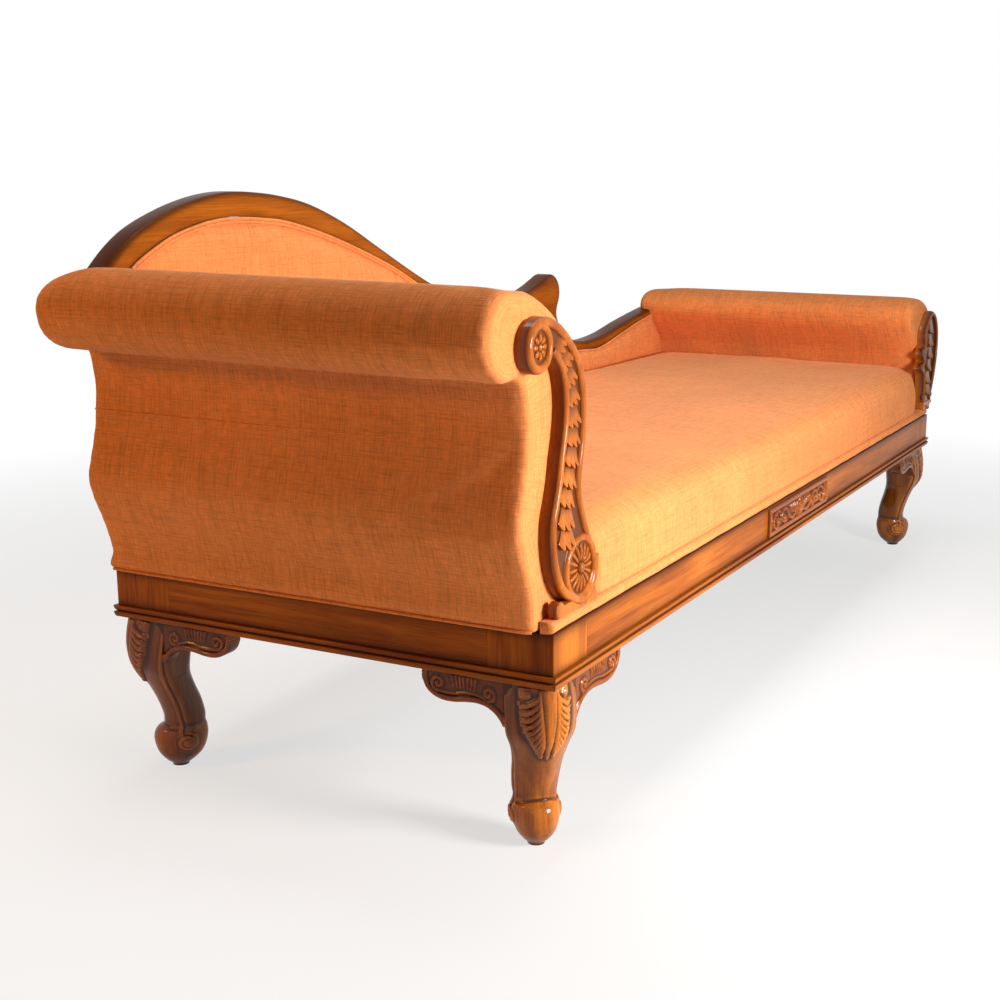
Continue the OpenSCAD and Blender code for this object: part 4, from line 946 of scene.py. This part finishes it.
# SEAT BORDER
# A thin roll of wadding under the same linen, pulled tight along the top of the front rail.
border_low, border_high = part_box("seat_border")
border_half, border_tuck = (border_high.z - border_low.z) / 2, 5 * mm
border_ends = np.arange(7) * mm
border_rings = []
for x in np.unique(np.concatenate([np.linspace(border_low.x, border_high.x, 160), border_low.x + border_ends,
                                   border_high.x - border_ends])):
    from_end = min(1, (x - border_low.x) / border_tuck, (border_high.x - x) / border_tuck)
    tuck = border_half * (1 - math.sqrt(max(0, 1 - (1 - from_end) ** 2)))
    swell = 0.35 * mm * math.sin(x * 37) + 0.25 * mm * math.sin(x * 91 + 2)
    middle_y = border_low.y + tuck + border_half - swell
    bulge = arc(middle_y, border_low.z + border_half, border_half, 270, 90, 13)
    border_rings.append([(x, *place) for place in (*bulge, (border_high.y, border_high.z),
                                                   (border_high.y, border_low.z))])
border = made("seat_border_roll", [skin(border_rings)], linen, 60)
lay_weave(border, 0, [(y, z) for x, y, z in border_rings[0]][:-1])
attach(border, "root")
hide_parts("seat_border")


# FOOT END UPHOLSTERY
# The lower foot end rolls outwards. It is padded over its posts and pole and covered in one piece of linen.
foot_low, foot_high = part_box("foot_pad")
foot_over, foot_tall = 84 * mm, 283 * mm
foot_path = curve_through([
    (-0.5, 0.43), (-0.6, 0.53), (-0.86, 0.63), (-1.2, 0.73), (-1.42, 0.82), (-1.42, 0.9), (-1.22, 0.965),
    (-0.85, 0.995), (-0.4, 1.0), (0.1, 0.98), (0.55, 0.93), (0.83, 0.84), (0.97, 0.73), (1.0, 0.62),
    (0.97, 0.5), (0.86, 0.38), (0.62, 0.25), (0.36, 0.14), (0.14, 0.06), (0.06, 0)], 4)
foot_path = foot_path * (foot_over, foot_tall) + (foot_x, rail_top)
foot_loop = np.vstack([[(foot_x - 42 * mm, rail_top + 2 * mm)], foot_path])
foot_form = rounded_ends(foot_loop, (foot_low.y - past_face, foot_high.y + past_back), (16 * mm, 12 * mm),
                         3 * mm)
foot_pad = made("foot_upholstery", [skin(foot_form)], linen)
padded_out(foot_pad, 7 * mm, 3 * mm,
           lambda p: (p[:, 2] < rail_top + hem_held) | (p[:, 1] < foot_low.y + face_held))
lay_weave(foot_pad, 1, foot_path)
refined(foot_pad)
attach(foot_pad, "root")
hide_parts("foot_pad")


# HEAD FACING
# A carved board glued over the front of the head end. Beads follow both edges of its S and coil into a
# volute above and a ring below. Husks hang down the channel, a daisy fills the volute and a fluted flower
# fills the ring.
facing_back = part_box("head_facing")[1].y
facing_field, facing_thick, bead_r = 18 * mm, 24 * mm, 6.2 * mm
facing_wide, facing_tall = head_deep * 1.85, head_tall * 0.905 - (border_top - rail_top)
facing_left, facing_right = (
    curve_through(line, 4) * (facing_wide, facing_tall) + (head_x, border_top) for line in (
        [(0.04, 0.886), (0.1, 0.86), (0.152, 0.832), (0.184, 0.797), (0.205, 0.748), (0.208, 0.686),
         (0.19, 0.62), (0.154, 0.548), (0.116, 0.46), (0.07, 0.39), (0.038, 0.344), (0.026, 0.287),
         (0.036, 0.228), (0.072, 0.162), (0.142, 0.098), (0.25, 0.05), (0.4, 0.024)],
        [(-0.112, 1.004), (-0.03, 1.009), (0.052, 0.999), (0.146, 0.977), (0.23, 0.949), (0.302, 0.917),
         (0.372, 0.881), (0.428, 0.841), (0.462, 0.794), (0.488, 0.746), (0.498, 0.682), (0.492, 0.62),
         (0.476, 0.558), (0.448, 0.497), (0.43, 0.439), (0.438, 0.396), (0.468, 0.351), (0.515, 0.294),
         (0.575, 0.242), (0.638, 0.19), (0.666, 0.138)]))
volute_x, volute_z, volute_r = head_x - 0.112 * facing_wide, border_top + 0.917 * facing_tall, roll_r * 0.56
flower_r = head_deep * 0.42
flower_x, flower_z = head_x + 0.44 * facing_wide, border_top + 6.5 * mm + flower_r


def evenly(line, count):
    """So many points at equal distances along a line."""
    line = np.asarray(line, float)
    run = np.concatenate([[0], np.cumsum(np.linalg.norm(np.diff(line, axis=0), axis=1))])
    at = np.linspace(0, run[-1], count)
    return np.column_stack([np.interp(at, run, line[:, i]) for i in range(line.shape[1])])


def moved_in(line, distance):
    """A flat line moved sideways, to its left where the distance is positive."""
    line = np.asarray(line, float)
    ahead = np.gradient(line, axis=0)
    left = np.column_stack([-ahead[:, 1], ahead[:, 0]]) / np.linalg.norm(ahead, axis=1, keepdims=True)
    return line + distance * left


def circle(x, z, radius, count):
    """So many flat points all the way round a centre."""
    return arc(x, z, radius, 0, 360 * (1 - 1 / count), count)


def disc(x, z, radius, low, high):
    """A round board, its front edge eased."""
    return skin([at_height(circle(x, z, radius - draw, 72), out)
                 for out, draw in ((low, 0), (high - mm, 0), (high, mm), (high, radius * 0.6))])


def dome(wide, long, tall, narrow=0.0, crease=0.0):
    """A small carved swelling: half-widths across and along, its height, how much its near end narrows, and
    how deep its middle crease is."""
    rings = []
    for up in (-0.25, 0, 0.35, 0.65, 0.88, 1.0):
        spread = math.sqrt(max(0, 1 - max(0, up) ** 2)) if up < 1 else 0.08
        across, along = circle(0, 0, spread, 14).T
        dip = crease * bell(across, 0, 0.22) * max(0, up)
        rings.append(np.column_stack([wide * across * (1 - narrow * (1 + along) / 2), long * along,
                                      tall * (up - dip)]))
    return skin(rings)


def cord_along_path():
    """A round cord along a path, growing from a first to a last size."""
    tree, given, even, size = new_path_tree("cord_along_path", ("Thickness", "Float"))
    ring = add(tree, "GeometryNodeCurvePrimitiveCircle", {"Resolution": 12, "Radius": given["Thickness"]})
    cord = add(tree, "GeometryNodeCurveToMesh", {"Curve": even, "Profile Curve": ring.outputs["Curve"],
                                                 "Scale": size, "Fill Caps": True})
    return ended(tree, given, cord.outputs["Mesh"])


cord_tree = cord_along_path()


def cord(path, thickness, material, *sizes):
    """A round cord along a path in space."""
    length = np.linalg.norm(np.diff(np.asarray(path, float), axis=0), axis=1).sum()
    count = max(12, int(length / max(0.0018, thickness * 0.6)))
    return grown(cord_tree, path, sizes or (1.0, 1.0), Thickness=thickness, Count=count, Material=material)


def set_round(name, shape, line, out, count, sizes=(1.0, 1.0), uneven=0.0, closed=False):
    """So many copies of a carved shape along a flat line, lifted."""
    pattern = pattern_piece(name, shape)
    points, faces = grown(path_tree, at_height(line, 0), sizes, closed, Pattern=pattern, Count=count,
                          Unevenness=uneven, Seed=7, Material=facing_wood)
    bpy.data.objects.remove(pattern)
    return points + (0, 0, out), faces


def bead(line, radius, first, last):
    """A carved bead along a flat line of the facing's front."""
    return cord(at_height(line, facing_thick - radius), radius, facing_wood, first, last)


def button(x, z, out, size, tall):
    """A small round dome on a carved board."""
    points, faces = dome(size, size, tall)
    return points + (x, z, out), faces


def stood(shape, back):
    """Stands a shape drawn flat, with its height as the way out, on a plane that faces the front."""
    points = shape[0]
    return np.column_stack([points[:, 0], back - points[:, 2], points[:, 1]]), shape[1]


def husk():
    """One husk of the chain, a unit long: a smooth leaf that widens to three curled tips."""
    run, wide = np.meshgrid(np.linspace(0, 1, 11), np.linspace(-1, 1, 13), indexing="ij")
    tips = abs(np.cos(1.5 * math.pi * wide)) ** 0.8
    x = run * (1.02 - 0.24 * (1 - tips) * run ** 3 - 0.12 * abs(wide) * run)
    y = wide * (0.3 + 0.26 * np.sin(run * math.pi * 0.5)) * (1 + 0.1 * run ** 2)
    z = 0.02 + 0.17 * run ** 1.3 * (1 - 0.45 * wide ** 2) + 0.07 * run ** 4 * tips
    z -= 0.16 * np.clip(run - 0.9, 0, 1)
    z -= 0.1 * (1 - tips) * np.clip(run - 0.45, 0, 1)
    return relief(np.dstack([x, y]), z, -0.04)


facing_wood = polished_wood("amber_facing_wood", "Z", (0.56, 0.165, 0.016), (0.3, 0.07, 0.008), coat=0.35)
strip_left, strip_right = evenly(facing_left, 110), evenly(facing_right, 110)
strip_rings = [[(*a, 0), *((*(a + (b - a) * t), facing_field) for t in np.linspace(0, 1, 9)), (*b, 0)]
               for a, b in zip(strip_left, strip_right)]
coil_start, coil_end, coil_steps = 88, 446, 60
coil_r = np.interp(np.linspace(coil_start, coil_end, coil_steps), [88, 180, 270, 360, 446],
                   [27.6 * mm, 27.3 * mm, 27 * mm, 26.7 * mm, 26.4 * mm])
volute_coil = arc(volute_x, volute_z, coil_r, coil_start, coil_end, coil_steps)
under_flower = arc(flower_x, flower_z, flower_r - bead_r * 0.6, 262, 372, 20)
left_bead = curve_through(np.vstack([moved_in(facing_left, bead_r)[:-3:4], under_flower[1::6]]), 6)
right_bead = np.vstack([moved_in(facing_right, -bead_r)[::-1][:-1], volute_coil[:1]])
flower_ring = arc(flower_x, flower_z, flower_r - bead_r - np.linspace(0, 2 * mm, 50), 20, 340, 50)
to_right = np.linspace(0.6, 0.48, 110)[:, None]
channel = evenly((strip_left * (1 - to_right) + strip_right * to_right)[9:79], 60)
husk_count, petal_count, flute_count = 11, 8, 16
petal = dome(4.4 * mm, 6.2 * mm, 4.2 * mm, 0.35, 0.3)
flower_in = flower_r - 2 * bead_r
flute = dome(4.3 * mm, 0.4 * flower_in, 5.0 * mm, 0.62, 0.18)
facing_boards = [skin(strip_rings), disc(volute_x, volute_z, volute_r, 0, facing_field + 0.5 * mm),
                 disc(flower_x, flower_z, flower_r, 0, facing_field + 0.5 * mm)]
facing_beads = [bead(evenly(right_bead, 160), bead_r, 0.85, 1.05),
                bead(evenly(volute_coil, 110), bead_r, 1.05, 0.85),
                bead(evenly(left_bead, 140), bead_r, 0.7, 1.2),
                cord(at_height(flower_ring, facing_thick - bead_r), bead_r * 0.9, facing_wood, 1.0, 0.8)]
facing_carving = [
    set_round("husk_pattern", husk(), channel, facing_field - 0.4 * mm, husk_count, (25 * mm, 38 * mm), 0.06),
    set_round("daisy_petal_pattern", petal, circle(volute_x, volute_z, 11 * mm, 32), facing_field,
              petal_count, closed=True),
    set_round("flower_flute_pattern", flute, circle(flower_x, flower_z, 0.6 * flower_in, 32),
              facing_field - 0.5 * mm, flute_count, closed=True),
    button(volute_x, volute_z, facing_field, 4.6 * mm, 4.6 * mm),
    button(flower_x, flower_z, facing_field, 7.5 * mm, 7.5 * mm)]
facing_shapes = facing_boards + facing_beads + facing_carving
facing_out = np.concatenate([shape[0][:, 2] for shape in facing_shapes])
facing_kind = np.repeat(np.arange(len(facing_shapes)), [len(shape[0]) for shape in facing_shapes])
boards, beads = len(facing_boards), len(facing_boards + facing_beads)
is_bead = (facing_kind >= boards) & (facing_kind < beads)
# Dark stain and painted shade on the sunk ground and on the low parts of the carving and beads.
facing_stain_and_shade = 0.95 * rise(facing_out, facing_field + np.where(is_bead, -1.5, 2.6) * mm, -2.4 * mm)
facing_stain_and_shade[(facing_kind < boards) & (facing_out < facing_field / 2)] = 0.05
facing = made("scroll_facing", [stood(shape, facing_back) for shape in facing_shapes], facing_wood, 50,
              facing_stain_and_shade)
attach(facing, "root")
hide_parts("head_facing")


# HEAD BRACKET
# A bar that stands on the border and cradles the ring of the facing. Its left end is a turned roll, its
# right end rises to a point beside the ring.
cradle_x, cradle_z, cradle_r = head_x + 26 * mm, border_top + 11.5 * mm, 11.4 * mm
cradle_roll = arc(cradle_x, cradle_z, cradle_r, 258, 25, 18)
cradle_hug = arc(flower_x, flower_z, flower_r + 0.6 * mm, 232, 318, 18)
cradle_end = [(flower_x + 46 * mm, border_top + 6 * mm), (flower_x + 43 * mm, border_top + 0.4 * mm)]
cradle_loop = np.vstack([cradle_roll, cradle_hug, cradle_end])
cradle_depth = (facing_back - 24 * mm, facing_back - 10 * mm)
cradle = made("cradle_bracket", [skin(rounded_ends(cradle_loop, cradle_depth, (2.2 * mm, 0.3 * mm), 0))],
              facing_wood, 40)
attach(cradle, "root")
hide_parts("head_bracket")


# FOOT FACING AND ITS BRACKET
# A leaf-shaped carved board over the front of the foot end: a plain bead outside, small C-scrolls on the
# seat side, husks in the sunk field. It stands on a stepped bracket.
foot_inner = curve_through([
    (-0.52, 0.12), (-0.5, 0.24), (-0.58, 0.36), (-0.9, 0.415), (-0.63, 0.475), (-0.86, 0.535), (-0.58, 0.6),
    (-0.66, 0.69), (-0.46, 0.77), (-0.15, 0.84), (0.12, 0.88)], 5)
foot_outer = curve_through([
    (0.12, 0.88), (0.42, 0.85), (0.66, 0.79), (0.82, 0.7), (0.88, 0.58), (0.84, 0.475), (0.72, 0.365),
    (0.55, 0.26), (0.38, 0.18), (0.28, 0.12)], 5)
foot_inner, foot_outer = (line * (foot_over, foot_tall) + (foot_x, rail_top)
                          for line in (foot_inner, foot_outer))
leaf_loop = np.vstack([foot_inner, foot_outer[1:]])
leaf_board = skin([at_height(moved_in(np.vstack([leaf_loop, leaf_loop[:1]]), -draw)[:-1], out)
                   for out, draw in ((0, 0), (facing_field - mm, 0), (facing_field, mm))])
small_r = 4.6 * mm
leaf_line = evenly(foot_inner, 50)[::-1] * 0.5 + evenly(foot_outer, 50) * 0.5
leaf_shapes = [leaf_board, bead(evenly(moved_in(foot_outer, -small_r), 80), small_r, 0.8, 1.0),
               bead(evenly(moved_in(foot_inner, -small_r), 90), small_r, 1.0, 0.8),
               set_round("leaf_husk_pattern", husk(), leaf_line[8:46], facing_field - 0.4 * mm, 7,
                         (34 * mm, 44 * mm), 0.08)]
for x, z, size in ((0.33, 0.16, 9 * mm), (-0.76, 0.43, 8 * mm), (-0.72, 0.56, 7 * mm), (-0.44, 0.16, 9 * mm)):
    leaf_shapes.append(button(foot_x + foot_over * x, rail_top + foot_tall * z, facing_field - 0.5 * mm, size,
                              size * 0.8))
leaf_out = np.vstack([shape[0] for shape in leaf_shapes])[:, 2]
# Dark stain and painted shade on the sunk field and the low parts of the carving.
leaf_facing_stain_and_shade = (0.55 + 0.45 * rise(leaf_out, facing_field + 3 * mm, -3 * mm)) * (leaf_out > 10 * mm)
leaf_facing = made("leaf_facing", [stood(shape, facing_back) for shape in leaf_shapes], facing_wood, 50,
                   leaf_facing_stain_and_shade)
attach(leaf_facing, "root")
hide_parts("foot_facing")
eased("foot_bracket", facing_wood, 2 * mm)


# CREST RAIL, SCROLL TIP AND LOW RAIL
# The back's top is sawn from three thick boards joined end to end: a humped crest, a rounded tip where it
# stops, and a low rail that sweeps to the foot end. The faces are amber, the rounded top edge keeps dark
# stain.
back_front, back_rear, back_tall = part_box("crest_rail")[0].y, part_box("crest_rail")[1].y, 545 * mm
base_length = base_high.x - base_low.x


def on_back(shares):
    """Places on the back, from shares of the base's length and the hump's height."""
    return np.asarray(shares) * (base_length, back_tall) + (head_x, rail_top)


def shaped_rail(name, top, under, wood, node):
    """A sawn rail between a top and an underside line of equally many points, its top edge rounded over."""
    rings, dark_stain_and_shade = [], []
    top_round, thick = 7 * mm, back_rear - back_front
    edge_stain = [0.95, 0.95, 0.92, 0.85, 0.7, 0.5, 0.14, 0.05, 0, 0.05, 0.3, 0.6, 0.6, 0.4, 0.4, 0.6, 0.8,
                  0.9, 0.95]
    for a, b in zip(top, under):
        tall = max(np.linalg.norm(b - a), 16 * mm)
        down = (b - a) / np.linalg.norm(b - a)
        front = [(top_round * (1 - math.sin(t)), top_round * (1 - math.cos(t))) for t in
                 np.linspace(0, math.pi / 2, 6)]
        front += [(0, top_round + (tall - top_round - 2 * mm) * t) for t in (0.12, 0.3, 0.55, 0.8, 1.0)]
        front += [(mm, tall - 0.4 * mm)]
        rear = [(thick - 3 * mm, tall - 0.4 * mm), (thick, tall - 3 * mm), (thick, tall * 0.5),
                (thick, 9 * mm)]
        rear += [(thick - 5 * mm * (1 - math.cos(t)), 5 * mm * (1 - math.sin(t))) for t in (0.3, 0.9, 1.5)]
        rings.append([(a[0] + down[0] * fall, back_front + into, a[1] + down[1] * fall)
                      for into, fall in front + rear])
        dark_stain_and_shade.append(edge_stain)
    rail = made(name, [skin(rings)], wood, 50, np.concatenate(dark_stain_and_shade))
    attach(rail, "root")
    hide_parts(node)


crest_wood = polished_wood("amber_crest_wood", "X", (0.44, 0.126, 0.009), (0.24, 0.058, 0.006), coat=0)
crest_top = curve_through([
    (-0.012, 0.8), (0.008, 0.862), (0.031, 0.912), (0.064, 0.956), (0.095, 0.984), (0.12, 0.997),
    (0.137, 1.0), (0.156, 0.998), (0.19, 0.987), (0.233, 0.958), (0.282, 0.897), (0.333, 0.813),
    (0.382, 0.732), (0.425, 0.667), (0.47, 0.611), (0.52, 0.576), (0.565, 0.566), (0.6, 0.579),
    (0.6325, 0.605), (0.6575, 0.634)], 5)
crest_under = curve_through([
    (0.002, 0.76), (0.016, 0.812), (0.035, 0.85), (0.06, 0.888), (0.086, 0.912), (0.113, 0.927),
    (0.14, 0.929), (0.169, 0.923), (0.199, 0.911), (0.245, 0.873), (0.296, 0.818), (0.35, 0.75),
    (0.387, 0.692), (0.425, 0.63), (0.47, 0.566), (0.52, 0.523), (0.57, 0.505), (0.62, 0.5),
    (0.6575, 0.48)], 5)
shaped_rail("humped_crest", evenly(on_back(crest_top), 150), evenly(on_back(crest_under), 150), crest_wood,
            "crest_rail")
tip_pairs = curve_through([
    (0.6575, 0.634, 0.6575, 0.48), (0.666, 0.644, 0.659, 0.472), (0.674, 0.6465, 0.661, 0.463),
    (0.682, 0.636, 0.663, 0.454), (0.6885, 0.612, 0.665, 0.445), (0.691, 0.578, 0.667, 0.436),
    (0.6885, 0.547, 0.669, 0.427), (0.684, 0.518, 0.672, 0.417), (0.684, 0.481, 0.676, 0.406),
    (0.693, 0.435, 0.684, 0.387), (0.711, 0.388, 0.702, 0.35), (0.733, 0.358, 0.729, 0.318),
    (0.76, 0.346, 0.76, 0.311)], 6)
shaped_rail("crest_tip", on_back(tip_pairs[:, :2]), on_back(tip_pairs[:, 2:]), crest_wood, "scroll_tip")
low_top = curve_through([
    (0.76, 0.346), (0.7865, 0.349), (0.8205, 0.361), (0.87, 0.392), (0.9245, 0.42), (0.96, 0.436),
    (0.966, 0.439)], 5)
low_under = curve_through([
    (0.76, 0.311), (0.784, 0.305), (0.809, 0.314), (0.834, 0.332), (0.886, 0.369), (0.92, 0.39),
    (0.96, 0.41), (0.966, 0.413)], 5)
shaped_rail("sweeping_low_rail", evenly(on_back(low_top), 60), evenly(on_back(low_under), 60), crest_wood,
            "low_rail")


# INSIDE BACK AND OUTSIDE BACK
# A thin pad fills the back under the crest, crowned towards the sitter. The outside is one tight panel of
# linen.
def back_form(low, inset, columns, rows, overlap):
    """Places under the crest, the tip and the low rail, pressed by an overlap against both padded ends."""
    under = on_back(np.vstack([crest_under, tip_pairs[::6, 2:], low_under]))
    head_edge, foot_edge = (line[np.argsort(line[:, 1])] for line in (head_inside, foot_path[:30]))
    places = np.zeros((columns, rows, 2))
    settling_rounds = 12
    for i, across in enumerate(np.linspace(0, 1, columns)):
        for j, up in enumerate(np.linspace(0, 1, rows)):
            x = head_x + base_length * across
            for _ in range(settling_rounds):
                z = low + (np.interp(x, under[:, 0], under[:, 1]) - inset - low) * up
                left = np.interp(z, head_edge[:, 1], head_edge[:, 0]) - overlap
                right = np.interp(z, foot_edge[:, 1], foot_edge[:, 0], left=foot_edge[0, 0]) + overlap
                x = 0.5 * x + 0.5 * (left + (right - left) * across)
            places[i, j] = x, z
    return places


pad_columns, pad_rows = 170, 28
pad_places = back_form(seat_top - 20 * mm, 2 * mm, pad_columns, pad_rows, 9 * mm)
pad_across = np.linspace(0, 1, pad_columns)
pad_crown = np.minimum(1, 4.2 * pad_across * (1 - pad_across))[:, None] ** 0.6
pad_crown = pad_crown * np.sin(np.linspace(0.25, math.pi - 0.25, pad_rows))[None, :] ** 0.5
pad_shape = relief(pad_places, 3 * mm + 5 * mm * pad_crown, -13 * mm)
back_pad = made("back_upholstery", [stood(pad_shape, back_front)], linen)
padded_out(back_pad, 8 * mm, 4 * mm, lambda p: p[:, 1] > back_front + 6 * mm)
weave_layer(back_pad, points_of(back_pad.data)[:, [0, 2]])
refined(back_pad)
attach(back_pad, "root")
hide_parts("back_pad")

panel_places = back_form(rail_top + mm, mm, 150, 60, -mm)
panel_wave = 0.5 * mm * np.sin(panel_places[..., 0] * 9) * np.sin(panel_places[..., 1] * 8)
panel_points, panel_faces = relief(panel_places, 3 * mm + panel_wave, 0)
panel_points = panel_points[:, [0, 2, 1]] + (0, back_rear - 3.6 * mm, 0)
back_panel = made("outside_back_linen", [(panel_points, panel_faces)], linen)
weave_layer(back_panel, panel_points[:, [0, 2]])
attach(back_panel, "root")
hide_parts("back_panel")


# PIPING
# A double piping cord, covered in the same linen, hides the fabric's edge under the crest and the low rail.
# A single thin one runs round the bottom of the head end, and a fine welt crosses its outer face.
def linen_cord(name, path, thickness):
    """A fabric-covered cord along a path in space, with the weave laid round it."""
    points, faces = cord(path, thickness, linen)
    piece = made(name, [(points, faces)], linen, 80)
    run = np.concatenate([[0], np.cumsum(np.linalg.norm(np.diff(path, axis=0), axis=1))])
    near = [np.linalg.norm(path - point, axis=1).argmin() for point in points]
    away = points - path[near]
    weave_layer(piece, np.column_stack([run[near], np.arctan2(away[:, 2], away[:, 1]) * thickness]))
    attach(piece, "root")
    return piece


piping_line = evenly(on_back(np.vstack([crest_under, tip_pairs[6::6, 2:], low_under[1:]])), 260)
piping_line = piping_line[piping_line[:, 0] > head_x + 30 * mm]
for name, drop in (("upper_piping", 2.4 * mm), ("lower_piping", 7.4 * mm)):
    line = moved_in(piping_line, -drop)
    path = np.column_stack([line[:, 0], np.full(len(line), back_front - 1.0 * mm), line[:, 1]])
    piping = linen_cord(name, path, 2.5 * mm)
    if name == "upper_piping":
        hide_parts("back_piping")
head_surface = BVHTree.FromPolygons(points_of(head_pad.data).tolist(),
                                    [list(face.vertices) for face in head_pad.data.polygons])
head_seams = {"head_hem_piping": (rail_top + 1.6 * mm, 4 * mm, 2.2 * mm, 0.4 * mm, 0.4 * mm),
              "head_welt": (rail_top + 243 * mm, 0, 1.6 * mm, 0.3 * mm, 1.2 * mm)}
for name, (height, over, thickness, sunk_back, sunk_front) in head_seams.items():
    seam = []
    for share in np.linspace(0, 1, 130):
        y = back_y - 5 * mm + (front_y - back_y + 9 * mm) * share
        place = head_surface.ray_cast(Vector((head_x - 0.4, y, height + over)), Vector((1, 0, 0)))[0]
        if place:
            seam.append((place.x + sunk_back + (sunk_front - sunk_back) * share, y, height))
    linen_cord(name, np.array(seam), thickness)
